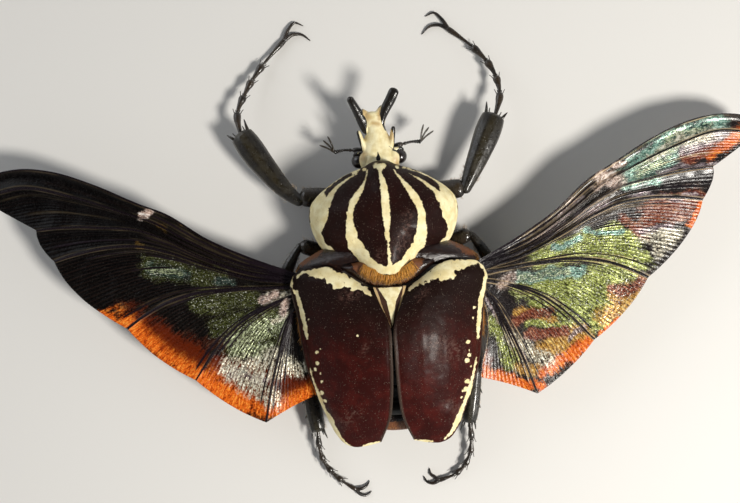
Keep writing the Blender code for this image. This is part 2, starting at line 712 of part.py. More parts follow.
WING_ROOT = (27.0, 12.0)
VEINS = [
    # the vein's line on the right wing, seen from above, from the front edge to the rear
    curve((26.0, 12.0), (38.3, 18.3), (48.7, 24.7), (59.4, 33.4), (66.0, 36.9), (77.2, 43.0), (89.0, 47.6),
          (98.0, 48.9), (105.0, 48.0), (110.0, 45.2)),
    curve((26.0, 11.1), (42.0, 17.2), (55.0, 25.4), (63.0, 31.2), (72.0, 35.4), (85.0, 40.6), (97.0, 43.9),
          (108.8, 42.6)),
    curve((26.0, 10.2), (40.0, 14.6), (52.0, 20.8), (60.0, 26.2), (67.2, 29.8), (76.4, 31.8), (88.0, 33.5),
          (95.0, 33.8)),
    curve((26.0, 9.3), (37.9, 12.2), (49.7, 17.4), (60.0, 22.6), (67.4, 25.3), (76.0, 26.2), (87.3, 25.3),
          (91.2, 24.6)),
    curve((26.0, 8.2), (35.0, 9.3), (43.4, 10.2), (54.8, 10.4), (63.3, 8.7), (70.0, 5.8), (73.9, 3.6)),
    curve((26.0, 6.6), (35.0, 4.3), (44.1, 0.2), (50.8, -5.4), (57.5, -13.0)),
    curve((26.2, 4.4), (29.4, 0.6), (33.6, -8.4), (37.1, -17.3), (40.2, -27.3)),
    curve((26.2, 0.8), (27.2, -3.5), (27.0, -8.5), (26.0, -13.5), (24.9, -17.5), (24.2, -21.4)),
]
PANELS = [
    # membrane lines between each vein and the next, and how far the margin bulges between them
    (1, 0.6), (1, 1.0), (1, 1.6), (3, 3.2), (2, 1.6), (2, 1.2), (1, -0.4),
]
WING_STATIONS = (0.0, 0.06, 0.14, 0.24, 0.35, 0.46, 0.57, 0.68, 0.78, 0.87, 0.94, 1.0)
VEIN_FOOT = 0.6  # half the width of a vein's ridge
VEIN_RISE = 0.35
PANEL_SAG = 0.9


def wing_lines(r):
    """(plan points, sag, is a crest) for each line of the wing, read at the places r along it."""
    lines = [(VEINS[0](r), 0.0, True)]
    for first, second, (count, bulge) in zip(VEINS, VEINS[1:], PANELS):
        a, b = first(r), second(r)
        apart = np.linalg.norm(b - a, axis=1)
        foot = np.minimum(VEIN_FOOT / apart, 0.22)
        out = (a[-1] + b[-1]) / 2 - WING_ROOT
        out /= np.linalg.norm(out)
        shares = [foot]
        shares += [foot + (1 - 2 * foot) * k / (count + 1) for k in range(1, count + 1)]
        shares += [1 - foot]
        for share in shares:
            round_off = (bulge * 4 * share * (1 - share) * r**5)[:, None] * out
            line = a + (b - a) * share[:, None] + round_off
            lines.append((line, float(share.mean()), False))
        lines.append((b, 0.0, True))
    return lines


def wing_level(plan):
    """Height of the wing's middle surface: a low arch that comes down again at the tip."""
    away = np.linalg.norm(plan - WING_ROOT, axis=1)
    behind = np.clip(WING_ROOT[1] - plan[:, 1], 0, None)
    return WING_LEVEL + 2.6 * np.sin(np.clip(away / 92, 0, 1) * math.pi) - 0.02 * away - 0.05 * behind


def wing_grids():
    """The right wing's upper and lower faces."""
    r = np.array(WING_STATIONS)
    upper, lower = [], []
    for plan, share, crest in wing_lines(r):
        fade = np.clip(r * 5, 0, 1)
        sag = PANEL_SAG * 4 * share * (1 - share) * fade
        middle = wing_level(plan) - sag
        half = MEMBRANE_THICKNESS / 2 + 0.35 * np.exp(-r * 14)
        rise = VEIN_RISE * (1.2 - 0.7 * r) if crest else 0.0 * r
        upper.append(np.column_stack([plan, middle + half + rise]))
        lower.append(np.column_stack([plan, middle - half - 0.4 * rise]))
    return np.array(upper), np.array(lower)


def make_wing(side, beetle):
    """A thin veined sheet that starts at the rear thorax, under the edge of the wing case."""
    grids = []
    for grid in wing_grids():
        spread = grid.copy()
        spread[..., :2] = WING_ROOT + (grid[..., :2] - WING_ROOT) * WING_SPREAD[side]
        grids.append(mirrored(turned(spread, WING_SWEEP[side], WING_ROOT), side))
    wing = cleared(sheet("wing", *grids), metathorax_shape(GAP), abdomen_shape(GAP))
    root = tuple(mirrored((*WING_ROOT, WING_LEVEL), side))
    return node(wing, f"wing_{SIDES[side]}", "wing_membrane", root, beetle)


# Legs

LEGS = {
    # hip, thigh and shin lines, then the joints of the foot and the tips of its two claws
    ("fore", RIGHT): dict(
        hip=((3.4, 28.4, 5.4), (6.4, 29.2, 5.0), (9.4, 30.4, 4.8)),
        thigh=((7.4, 30.4, 4.6), (13.5, 32.2, 6.6), (19.5, 33.0, 8.6), (24.4, 33.2, 9.6)),
        shin=((23.6, 31.6, 9.6), (25.2, 35.0, 9.8), (29.6, 44.0, 9.6), (34.4, 54.2, 8.8)),
        foot=((34.2, 52.6, 8.6), (36.6, 60.4, 6.4), (36.0, 65.4, 5.0), (33.8, 70.4, 3.6), (30.0, 75.2, 2.2),
              (22.9, 81.7, 0.8)),
        claws=(((21.6, 84.4, 0.9), (19.4, 86.4, 0.6), (16.8, 85.5, 0.3)),
               ((20.6, 82.6, 0.9), (17.9, 82.4, 0.6), (15.4, 80.2, 0.3))),
    ),
    ("fore", LEFT): dict(
        hip=((3.4, 28.4, 5.4), (6.4, 29.2, 5.0), (9.4, 30.4, 4.8)),
        thigh=((7.4, 30.4, 4.6), (13.5, 32.4, 6.6), (19.5, 33.6, 8.6), (24.2, 33.8, 9.6)),
        shin=((22.8, 32.0, 9.6), (26.4, 34.8, 9.8), (33.4, 43.6, 9.6), (40.0, 54.0, 8.8)),
        foot=((39.6, 52.6, 8.6), (40.4, 60.2, 6.4), (38.4, 65.0, 5.0), (35.8, 69.6, 3.6), (32.4, 74.2, 2.2),
              (25.3, 81.6, 0.8)),
        claws=(((24.2, 84.4, 0.9), (22.2, 86.4, 0.6), (19.6, 85.4, 0.3)),
               ((23.0, 82.8, 0.9), (20.4, 82.8, 0.6), (17.8, 80.8, 0.3))),
    ),
    ("mid", RIGHT): dict(
        hip=((4.4, 12.0, 4.2), (7.0, 12.6, 3.7), (9.8, 13.6, 3.5)),
        thigh=((8.0, 13.0, 2.9), (14.0, 15.6, 3.9), (20.0, 18.2, 6.0), (25.3, 20.2, 7.8)),
        shin=((24.4, 20.6, 7.8), (27.4, 16.2, 7.8), (31.6, 8.0, 6.8), (35.0, -1.0, 5.6)),
        foot=((34.4, 0.4, 5.4), (37.4, -5.4, 4.4), (40.0, -9.4, 3.4), (42.2, -13.0, 2.4), (43.6, -16.6, 1.6),
              (43.0, -22.6, 0.8)),
        claws=(((43.8, -24.4, 0.9), (43.4, -26.2, 0.6), (41.6, -27.4, 0.3)),
               ((41.8, -24.2, 0.9), (40.2, -25.2, 0.6), (38.4, -25.2, 0.3))),
    ),
    ("hind", RIGHT): dict(
        hip=((2.2, -9.6, 4.4), (8.0, -9.9, 3.9), (14.0, -10.6, 4.0)),
        thigh=((8.8, -10.4, 2.5), (14.0, -11.2, 2.7), (20.0, -11.8, 3.6), (25.0, -12.0, 4.8)),
        shin=((25.2, -10.6, 4.8), (24.7, -14.6, 4.9), (22.8, -25.0, 4.7), (20.7, -35.8, 4.2)),
        foot=((20.9, -34.4, 4.2), (21.2, -40.6, 3.4), (20.6, -44.8, 2.7), (18.8, -48.4, 2.0), (15.8, -51.0, 1.4),
              (10.6, -52.8, 0.8)),
        claws=(((8.9, -53.4, 0.9), (7.3, -52.9, 0.6), (6.4, -51.2, 0.3)),
               ((9.6, -51.6, 0.9), (8.5, -50.6, 0.6), (8.3, -49.0, 0.3))),
    ),
    ("hind", LEFT): dict(
        hip=((2.2, -9.6, 4.4), (8.0, -9.9, 3.9), (14.0, -10.6, 4.0)),
        thigh=((8.8, -10.4, 2.5), (14.0, -11.0, 2.7), (20.0, -11.4, 3.6), (26.0, -11.6, 4.8)),
        shin=((26.4, -10.2, 4.8), (26.2, -14.2, 4.9), (25.2, -24.4, 4.7), (23.7, -35.2, 4.2)),
        foot=((23.8, -33.8, 4.2), (23.8, -39.8, 3.4), (22.9, -44.0, 2.7), (20.8, -47.6, 2.0), (18.0, -50.6, 1.4),
              (13.8, -53.8, 0.8)),
        claws=(((12.6, -55.2, 0.9), (11.0, -55.6, 0.6), (9.4, -54.6, 0.3)),
               ((12.2, -53.4, 0.9), (10.8, -52.8, 0.6), (9.8, -51.4, 0.3))),
    ),
}
LEGS["mid", LEFT] = LEGS["mid", RIGHT]
LEG_GIRTH = {"fore": 1.0, "mid": 0.82, "hind": 0.92}
SHIN_GIRTH = {"fore": 1.0, "mid": 0.62, "hind": 0.66}
LEG_BODIES = {
    "fore": (prothorax_shape,),
    "mid": (mesothorax_shape, metathorax_shape, breast_keel, prothorax_shape),
    "hind": (metathorax_shape, abdomen_shape),
}
THIGH_STATIONS = (0, 0.15, 0.35, 0.6, 0.82, 0.95, 1)
SHIN_STATIONS = (0, 0.12, 0.3, 0.55, 0.8, 0.95, 1)


def thigh_shape(leg, side, grow=0.0):
    girth = LEG_GIRTH[leg]
    width = profile((0, 1.7 * girth), (0.35, 3.2 * girth), (0.75, 2.9 * girth), (0.93, 2.5 * girth), (1, 1.5 * girth))
    height = profile((0, 1.5 * girth), (0.35, 2.1 * girth), (0.75, 2.1 * girth), (0.93, 1.9 * girth), (1, 1.1 * girth))
    path = curve(*mirrored(LEGS[leg, side]["thigh"], side))
    return tube("thigh", path, width, height, 10, THIGH_STATIONS, power=2.3, grow=grow)


def shin_shape(leg, side, grow=0.0):
    girth = SHIN_GIRTH[leg]
    width = profile((0, 1.5 * girth), (0.12, 1.9 * girth), (0.45, 3.1 * girth), (0.95, 3.4 * girth), (1, 2.9 * girth))
    height = profile((0, 1.3 * girth), (0.45, 1.9 * girth), (0.95, 1.9 * girth), (1, 1.5 * girth))
    path = curve(*mirrored(LEGS[leg, side]["shin"], side))
    return tube("shin", path, width, height, 10, SHIN_STATIONS, power=2.5, grow=grow)


def make_thigh(leg, side, beetle):
    """The hip and thigh, cut to lie against the underside that they grow from."""
    parts = LEGS[leg, side]
    girth = LEG_GIRTH[leg]
    hip = tube(
        "hip", curve(*mirrored(parts["hip"], side)),
        profile((0, 1.9 * girth), (0.3, 2.9 * girth), (0.75, 2.6 * girth), (1, 1.5 * girth)),
        profile((0, 1.7 * girth), (0.3, 2.5 * girth), (0.75, 2.2 * girth), (1, 1.3 * girth)),
        8, (0, 0.12, 0.4, 0.75, 0.93, 1),
    )
    thigh = fused(thigh_shape(leg, side), hip)
    pressed_to_floor(cleared(thigh, *[body(grow=GAP) for body in LEG_BODIES[leg]]))
    root = tuple(mirrored(parts["thigh"][0], side))
    return node(thigh, f"{leg}_femur_{SIDES[side]}", "black_chitin", root, beetle)


def spur(start, tip, radius):
    """A short tapered spine."""
    start, tip = np.array(start), np.array(tip)
    path = curve(start, (start + tip) / 2 + (0.0, 0.0, -0.15), tip)
    taper = profile((0, radius), (0.6, 0.6 * radius), (1, 0.2))
    return tube("spur", path, taper, taper, 5, (0, 0.5, 1))


def make_shin(leg, side, beetle):
    """The shin, with a spur on each side of its far end."""
    line = mirrored(LEGS[leg, side]["shin"], side)
    girth = SHIN_GIRTH[leg]
    ahead = line[-1] - line[-2]
    ahead /= np.linalg.norm(ahead)
    across = np.cross(ahead, (0.0, 0.0, 1.0))
    spurs = [
        spur(line[-1] - ahead * 1.4 + across * out * 2.3 * girth, line[-1] + ahead * 2.2 + across * out * 3.6 * girth, 0.6)
        for out in (1, -1)
    ]
    shin = fused(shin_shape(leg, side), *spurs)
    pressed_to_floor(cleared(shin, thigh_shape(leg, side, GAP)))
    return node(shin, f"{leg}_tibia_{SIDES[side]}", "brown_chitin", tuple(line[0]), beetle)


def foot_girth(joints):
    """Stations along the foot, and its half width at each: every joint flares and pinches in again."""
    joints = np.array(joints, float)
    lengths = np.linalg.norm(np.diff(joints, axis=0), axis=1)
    knots = np.concatenate([[0.0], np.cumsum(lengths)]) / lengths.sum()
    pairs = []
    for start, end in zip(knots[:-2], knots[1:-1]):
        pairs += [(start + (end - start) * share, girth) for share, girth in ((0.06, 0.62), (0.6, 0.95), (0.93, 1.12))]
    start, end = knots[-2], knots[-1]
    pairs += [(start + (end - start) * share, girth) for share, girth in ((0.08, 0.55), (0.6, 0.7), (0.9, 0.85), (1.0, 0.5))]
    pairs[0] = (0.0, 0.9)
    return pairs


def claw(points):
    taper = profile((0, 0.55), (0.4, 0.5), (1, 0.2))
    return tube("claw", curve(*points), taper, taper, 5, (0, 0.3, 0.6, 0.85, 1))


def make_foot(leg, side, beetle):
    """Five joints and two claws, the last joint resting on the floor."""
    parts = LEGS[leg, side]
    joints = mirrored(parts["foot"], side)
    pairs = foot_girth(joints)
    stations = [place for place, _ in pairs]
    width = profile(*pairs)
    height = profile(*[(place, 0.9 * girth) for place, girth in pairs])
    toes = tube("foot", curve(*joints), width, height, 6, stations)
    root = joints[-1] + (joints[-2] - joints[-1]) * 0.08
    claws = [claw([root, *mirrored(tips, side)]) for tips in parts["claws"]]
    foot = fused(toes, *claws)
    pressed_to_floor(cleared(foot, shin_shape(leg, side, GAP)))
    return node(foot, f"{leg}_tarsus_{SIDES[side]}", "black_chitin", tuple(joints[0]), beetle)


def main():
    for obj in list(bpy.data.objects):
        bpy.data.objects.remove(obj)
    beetle = bpy.data.objects.new("goliath_beetle", None)
    bpy.context.scene.collection.objects.link(beetle)
    make_prothorax(beetle)
    make_head(beetle)
    make_horn(beetle)
    make_mouthparts(beetle)
    make_mesothorax(beetle)
    make_mesoscutum(beetle)
    make_scutellum(beetle)
    make_metathorax(beetle)
    make_abdomen(beetle)
    make_pygidium(beetle)
    for side in SIDES:
        make_eye(side, beetle)
        make_feeler(side, beetle)
        make_wing_case(side, beetle)
        make_wing(side, beetle)
        for leg in ("fore", "mid", "hind"):
            make_thigh(leg, side, beetle)
            make_shin(leg, side, beetle)
            make_foot(leg, side, beetle)


main()
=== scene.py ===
"""The looks of a goliath beetle: its striped shell, veined wings, legs and hair, and the studio.

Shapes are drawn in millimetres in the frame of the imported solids: +Z up, +Y to the head and +X to
the beetle's own right, with the origin on the floor below the breastplate.
"""

import math

import bmesh
import bpy
import numpy as np
from mathutils import Matrix, Vector


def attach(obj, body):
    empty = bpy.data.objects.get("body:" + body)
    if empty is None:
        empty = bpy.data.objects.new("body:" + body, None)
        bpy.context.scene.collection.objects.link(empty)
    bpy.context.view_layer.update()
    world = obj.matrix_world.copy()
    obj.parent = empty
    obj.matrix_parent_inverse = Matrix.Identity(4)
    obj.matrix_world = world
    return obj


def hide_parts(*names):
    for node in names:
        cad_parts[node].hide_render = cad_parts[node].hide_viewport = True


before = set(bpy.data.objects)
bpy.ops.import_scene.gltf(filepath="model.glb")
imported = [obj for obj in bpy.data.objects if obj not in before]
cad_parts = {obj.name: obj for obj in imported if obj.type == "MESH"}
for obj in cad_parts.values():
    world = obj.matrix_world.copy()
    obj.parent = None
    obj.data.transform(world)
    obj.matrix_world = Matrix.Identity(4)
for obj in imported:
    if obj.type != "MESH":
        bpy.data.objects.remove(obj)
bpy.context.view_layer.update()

UNIT = 0.001
RIGHT, LEFT = 1, -1
SIDES = {RIGHT: "right", LEFT: "left"}

HEAD_TURN = math.radians(3.0)
HEAD_PIVOT = (0.0, 42.0)
CASES_TURN = math.radians(-1.0)
CASES_PIVOT = (0.0, 6.0)
FAR_OUTSIDE = -9.0  # the depth inside a mark for a point that is nowhere near it
FLOOR_LIFT = 0.02  # what rests on the floor stays this far above it


# Curves and profiles


def smooth(knots, values, at):
    """Reads a smooth curve through the values at rising knots."""
    knots = np.asarray(knots, float)
    values = np.asarray(values, float)
    flat = values.ndim == 1
    values = values.reshape(len(knots), -1)
    at = np.clip(np.atleast_1d(np.asarray(at, float)), knots[0], knots[-1])
    steps = np.diff(knots)[:, None]
    slopes = np.diff(values, axis=0) / steps
    tangents = np.vstack([slopes[:1], slopes[-1:]])
    if len(knots) > 2:
        inner = (slopes[:-1] * steps[1:] + slopes[1:] * steps[:-1]) / (steps[:-1] + steps[1:])
        tangents = np.vstack([slopes[:1], inner, slopes[-1:]])
    i = np.clip(np.searchsorted(knots, at, side="right") - 1, 0, len(knots) - 2)
    step = steps[i]
    t = ((at - knots[i])[:, None]) / step
    found = (
        (2 * t**3 - 3 * t**2 + 1) * values[i]
        + (t**3 - 2 * t**2 + t) * step * tangents[i]
        + (3 * t**2 - 2 * t**3) * values[i + 1]
        + (t**3 - t**2) * step * tangents[i + 1]
    )
    return found[:, 0] if flat else found


def profile(*pairs, times=1.0):
    """A smooth function through (place, value) pairs, with every value taken times the same number."""
    knots, values = zip(*pairs)
    return lambda at: smooth(knots, np.multiply(values, times), at)


def curve(*points):
    """A smooth curve through a few points, read from 0 at its start to 1 at its end."""
    points = np.array(points, float)
    lengths = np.linalg.norm(np.diff(points, axis=0), axis=1)
    knots = np.concatenate([[0.0], np.cumsum(lengths)]) / lengths.sum()
    return lambda at: smooth(knots, points, at)


def ease(value, low, high):
    """Rises smoothly from 0 at low to 1 at high."""
    t = np.clip((np.asarray(value, float) - low) / (high - low), 0, 1)
    return t * t * (3 - 2 * t)


def bell(distance, width):
    """A soft bump, 1 in the middle and fading over the width."""
    return np.exp(-((np.asarray(distance) / width) ** 2))


def even(count):
    """Places from 0 to 1, closer together at both ends."""
    return 0.5 - 0.5 * np.cos(np.linspace(0, math.pi, count))


def turned(points, angle, pivot):
    """Points turned about a vertical axis through the pivot."""
    points = np.array(points, float)
    x = points[..., 0] - pivot[0]
    y = points[..., 1] - pivot[1]
    points[..., 0] = pivot[0] + x * math.cos(angle) - y * math.sin(angle)
    points[..., 1] = pivot[1] + x * math.sin(angle) + y * math.cos(angle)
    return points


def mirrored(points, side):
    """The points on the beetle's right side, or their mirror image on its left."""
    return np.array(points, float) * np.array([side, 1.0, 1.0])


def curve_on(side, points):
    """The smooth curve through points of the right side, or its mirror image on the left."""
    return curve(*mirrored(points, side))


def stretch(path, start, end):
    """One length of a path, itself read from 0 to 1."""
    return lambda at: path(start + (end - start) * np.asarray(at))


def above_floor(points, lift=FLOOR_LIFT):
    """The points, with those that lie too low raised to the lift."""
    return np.maximum(points, (-np.inf, -np.inf, lift))


def unit(vectors):
    """The directions of the vectors."""
    vectors = np.asarray(vectors, float)
    return vectors / np.maximum(np.linalg.norm(vectors, axis=-1, keepdims=True), 1e-9)


def sideways(ahead):
    """The level directions to the right of the directions ahead."""
    return unit(np.cross(ahead, (0.0, 0.0, 1.0)))


def ripple(x, y, size, seed):
    """Soft uneven waves from about -1 to 1 over a plane, about a size across."""
    chance = np.random.default_rng(seed)
    total = np.zeros(np.shape(x))
    for _ in range(8):
        angle, phase = chance.uniform(0, 2 * math.pi, 2)
        pace = chance.uniform(0.5, 1.4) * 2 * math.pi / size
        total = total + np.sin(pace * (x * math.cos(angle) + y * math.sin(angle)) + phase)
    return total / 4


# Marks: how deep a point lies inside a stripe or a patch, in millimetres


def inside_stripe(x, y, stations, samples=80):
    """Depth inside a stripe given by (x, y, half width) along its middle."""
    stations = np.array(stations, float)
    steps = np.linalg.norm(np.diff(stations[:, :2], axis=0), axis=1)
    knots = np.concatenate([[0.0], np.cumsum(steps)]) / steps.sum()
    best = np.full(np.shape(x), FAR_OUTSIDE)
    for cx, cy, half in smooth(knots, stations, np.linspace(0, 1, samples)):
        best = np.maximum(best, half - np.hypot(x - cx, y - cy))
    return best


def inside_spots(x, y, spots):
    """Depth inside round spots, each (x, y, radius)."""
    best = np.full(np.shape(x), FAR_OUTSIDE)
    for cx, cy, radius in spots:
        best = np.maximum(best, radius - np.hypot(x - cx, y - cy))
    return best


def inside_marks(points, stripes, spots=()):
    """Depth inside the nearest of some stripes and spots."""
    x, y = points[..., 0], points[..., 1]
    best = inside_spots(x, y, spots)
    for stripe in stripes:
        best = np.maximum(best, inside_stripe(x, y, stripe))
    return best


def away_from_line(x, y, x0, y0, x1, y1):
    """How far the points lie from a straight line between two places."""
    dx, dy = x1 - x0, y1 - y0
    along = np.clip(((x - x0) * dx + (y - y0) * dy) / (dx * dx + dy * dy), 0, 1)
    return np.hypot(x - x0 - along * dx, y - y0 - along * dy)


def soft_patches(x, y, patches):
    """From 0 to 1 over soft patches, each (x, y, x, y, half width): a broad stroke between two places."""
    best = np.zeros(np.shape(x))
    for *line, half in patches:
        best = np.maximum(best, np.exp(-0.7 * (away_from_line(x, y, *line) / half) ** 2))
    return best


# Meshes


def grid_faces(rows, columns, wrap=False):
    """Four-sided faces over a grid of points."""
    i, j = np.meshgrid(np.arange(rows - 1), np.arange(columns if wrap else columns - 1), indexing="ij")
    k = (j + 1) % columns
    corners = [i * columns + j, i * columns + k, (i + 1) * columns + k, (i + 1) * columns + j]
    return np.stack(corners, axis=-1).reshape(-1, 4)


def on_points(fields, spread):
    """The fields, with each that is given over a grid spread over a skin's points."""
    found = {name: np.asarray(value, float) for name, value in fields.items()}
    return {name: spread(value) if value.ndim else value for name, value in found.items()}


class Skin:
    """Gathers points, faces and values at the points, and makes one object of them."""

    def __init__(self):
        self.points = np.zeros((0, 3))
        self.faces = []
        self.fields = {}

    def add(self, points, *faces, **fields):
        """Adds points, the faces between them, and the values of each field: one, or one to a point."""
        points = np.asarray(points, float).reshape(-1, 3)
        before, count = len(self.points), len(points)
        for name in set(self.fields) | set(fields):
            stored = self.fields.get(name, np.zeros(before))
            value = np.broadcast_to(np.asarray(fields.get(name, 0.0), float).ravel(), (count,))
            self.fields[name] = np.concatenate([stored, value])
        self.faces += [np.asarray(some, int) + before for some in faces]
        self.points = np.concatenate([self.points, points])
        return self

    def loft(self, rings, **fields):
        """A closed skin over rings of points, with a fan at each end."""
        count, sides = rings.shape[:2]
        points = np.concatenate([rings.reshape(-1, 3), rings[:1].mean(axis=1), rings[-1:].mean(axis=1)])
        around = np.arange(sides)
        after = (around + 1) % sides
        end = (count - 1) * sides
        first = np.column_stack([np.full(sides, count * sides), after, around])
        last = np.column_stack([np.full(sides, count * sides + 1), end + around, end + after])

        def spread(value):
            value = np.broadcast_to(value, (count, sides))
            return np.concatenate([value.ravel(), [value[0].mean(), value[-1].mean()]])

        full = on_points(fields, spread)
        return self.add(points, grid_faces(count, sides, wrap=True), first, last, **full)

    def sheet(self, upper, lower, **fields):
        """A closed sheet between two like grids."""
        rows, columns = upper.shape[:2]
        below = rows * columns  # the lower grid's points come after this many
        faces = grid_faces(rows, columns)
        rim = list(range(columns))
        rim += [i * columns + columns - 1 for i in range(1, rows)]
        rim += [(rows - 1) * columns + j for j in range(columns - 2, -1, -1)]
        rim += [i * columns for i in range(rows - 2, 0, -1)]
        rim = np.array(rim)
        after = np.roll(rim, -1)
        edge = np.column_stack([rim, below + rim, below + after, after])
        points = np.concatenate([upper.reshape(-1, 3), lower.reshape(-1, 3)])
        full = on_points(fields, lambda value: np.tile(value.ravel(), 2))
        return self.add(points, faces, faces[:, ::-1] + below, edge, **full)

    def dome(self, rings, centre, **fields):
        """A skin open at its outer ring, over rings that grow from a middle point."""
        count, sides = rings.shape[:2]
        points = np.concatenate([rings.reshape(-1, 3), [centre]])
        around = np.arange(sides)
        fan = np.column_stack([np.full(sides, count * sides), around, (around + 1) % sides])
        full = on_points(fields, lambda value: np.append(value.ravel(), value[0].mean()))
        return self.add(points, grid_faces(count, sides, wrap=True), fan, **full)

    def turn(self, angle, pivot):
        """Turns the whole skin about a vertical axis."""
        self.points = turned(self.points, angle, pivot)
        return self

    def mesh(self, name, scale=UNIT):
        """A mesh of the points and faces, which carries the fields as attributes."""
        faces = [face for some in self.faces for face in some.tolist()]
        mesh = bpy.data.meshes.new(name)
        mesh.from_pydata((self.points * scale).tolist(), [], faces)
        for field, values in self.fields.items():
            layer = mesh.attributes.new(field, "FLOAT", "POINT")
            layer.data.foreach_set("value", values.astype(np.float32))
        return mesh

    def melted(self, voxel, rounds):
        """The same pieces melted into one smooth skin, without values at its points."""
        obj = bpy.data.objects.new("melt", self.mesh("melt", 1.0))
        bpy.context.scene.collection.objects.link(obj)
        remesh = obj.modifiers.new("remesh", "REMESH")
        remesh.mode = "VOXEL"
        remesh.voxel_size = voxel
        soften = obj.modifiers.new("soften", "SMOOTH")
        soften.factor = 0.5
        soften.iterations = rounds
        mesh = bpy.data.meshes.new_from_object(obj.evaluated_get(bpy.context.evaluated_depsgraph_get()))
        points = np.array([v.co for v in mesh.vertices])
        quads = np.array([p.vertices[:] for p in mesh.polygons if len(p.vertices) == 4])
        corners = [p.vertices[:] for p in mesh.polygons if len(p.vertices) == 3]
        bpy.data.objects.remove(obj)
        bpy.data.meshes.remove(mesh)
        return Skin().add(points, quads, *([np.array(corners)] if corners else []))

    def piece(self, name, material, nodes=(), slot=None):
        """One object on the beetle's body, in place of the nodes it stands for."""
        mesh = self.mesh(name)
        shape = bmesh.new()
        shape.from_mesh(mesh)
        bmesh.ops.recalc_face_normals(shape, faces=shape.faces)
        shape.to_mesh(mesh)
        shape.free()
        mesh.shade_smooth()
        mesh.materials.append(material)
        obj = bpy.data.objects.new(name, mesh)
        bpy.context.scene.collection.objects.link(obj)
        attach(obj, "root")
        if nodes:
            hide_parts(*nodes)
        return obj


def section(sides, power):
    """A ring of (across, up) points: round at power 2 and squarer above it."""
    angles = (np.arange(sides) + 0.5) * 2 * math.pi / sides
    c, s = np.cos(angles), np.sin(angles)
    return np.stack(
        [np.sign(c) * np.abs(c) ** (2 / power), np.sign(s) * np.abs(s) ** (2 / power)], axis=1
    )


def tube_rings(path, width, height, sides, count, power=2.0, caps=0.04, flutes=None):
    """Rings along a path with rounded ends; width and height are half sizes from 0 to 1 along it."""
    stations = even(count)
    centres = path(stations)
    ahead = unit(path(np.minimum(stations + 0.01, 1.0)) - path(np.maximum(stations - 0.01, 0.0)))
    across = sideways(ahead)
    up = np.cross(across, ahead)
    near_end = np.clip(np.minimum(stations, 1 - stations) / caps, 0.01, 1)
    cap = np.sqrt(1 - (1 - near_end) ** 2)
    ring = section(sides, power)
    if flutes is not None:
        ring = ring * flutes(np.arctan2(ring[:, 1], ring[:, 0]))[:, None]
    return (
        centres[:, None]
        + ring[None, :, :1] * (across * (width(stations) * cap)[:, None])[:, None]
        + ring[None, :, 1:] * (up * (height(stations) * cap)[:, None])[:, None]
    )


def trunk_rings(stations, count, sides, top_power, bottom_power):
    """Rings of a length of the body from (y, half width, widest level, top, bottom) stations."""
    stations = np.array(sorted(stations))
    places = stations[0, 0] + (stations[-1, 0] - stations[0, 0]) * np.linspace(0, 1, count)
    half, level, top, bottom = smooth(stations[:, 0], stations[:, 1:], places).T
    ring = section(sides, top_power)
    under = section(sides, bottom_power)
    low = ring[:, 1] < 0
    rings = np.empty((count, sides, 3))
    rings[..., 0] = np.where(low, under[:, 0], ring[:, 0])[None] * half[:, None]
    rings[..., 1] = places[:, None]
    down = under[None, :, 1] * (level - bottom)[:, None]
    rings[..., 2] = level[:, None] + np.where(low[None], down, ring[None, :, 1] * (top - level)[:, None])
    return rings


HAIR_SIDES = (0.0, 2.1, 4.2)
HAIR_POINTS = 7
HAIR_WALLS = ((0, 1, 4, 3), (1, 2, 5, 4), (2, 0, 3, 5))
HAIR_TIPS = ((3, 4, 6), (4, 5, 6), (5, 3, 6), (2, 1, 0))
HAIR_PATCH = ((0, 0), (1, 0), (2, 0), (0, 1), (1, 1), (2, 1), (1, 2))  # a hair's points on the unwrap
HAIR_PATCH_SIZE = 0.0015


class Hair:
    """Gathers many fine hairs and makes one object of them.

    Each hair is a solid three-sided blade of seven points: three at its root, three half way and its tip.
    """

    def __init__(self, seed):
        self.chance = np.random.default_rng(seed)
        self.parts = []

    def grow(self, roots, lies, length, width, spots, droop=0.0, spread=0.25, tone=0.5):
        """Hairs at the roots, lying along the lies; spots are the roots' places on the unwrap."""
        roots = np.asarray(roots, float)
        count = len(roots)
        chance = self.chance
        lies = unit(np.broadcast_to(lies, (count, 3)) + chance.normal(0, spread, (count, 3)))
        lengths = np.broadcast_to(length, (count,)) * chance.uniform(0.65, 1.15, count)
        across = unit(np.cross(lies, chance.normal(0, 1, (count, 3))))
        other = np.cross(lies, across)
        bend = across * (chance.normal(0, 0.12, count) * lengths)[:, None]
        bend[:, 2] -= droop * lengths
        points = np.empty((count, HAIR_POINTS, 3))
        for k, angle in enumerate(HAIR_SIDES):
            rim = across * math.cos(angle) + other * math.sin(angle)
            points[:, k] = roots - lies * 0.15 + rim * width
            points[:, 3 + k] = roots + lies * (lengths * 0.55)[:, None] + bend * 0.35 + rim * width * 0.75
        points[:, 6] = roots + lies * lengths[:, None] + bend
        tones = np.broadcast_to(tone, (count,)) + chance.normal(0, 0.16, count)
        self.parts.append((points, np.asarray(spots, float) % 0.995, tones))
        return self

    def piece(self, name, material, slot):
        """One object of all the hairs, none of them below the floor, unwrapped hair by hair."""
        points, spots, tones = (np.concatenate(some) for some in zip(*self.parts))
        points = above_floor(points)
        starts = np.arange(len(points))[:, None, None] * HAIR_POINTS
        walls = (HAIR_WALLS + starts).reshape(-1, 4)
        tips = (HAIR_TIPS + starts).reshape(-1, 3)
        skin = Skin().add(points, walls, tips, tone=np.repeat(tones, HAIR_POINTS))
        obj = skin.piece(name, material, slot=slot)
        layer = obj.data.uv_layers.new(name="OFBake")
        patch = np.array(HAIR_PATCH) * HAIR_PATCH_SIZE
        places = (spots[:, None] + patch[None]).reshape(-1, 2)
        corners = np.empty(len(obj.data.loops), int)
        obj.data.loops.foreach_get("vertex_index", corners)
        layer.data.foreach_set("uv", places[corners].ravel())
        return obj


# Materials


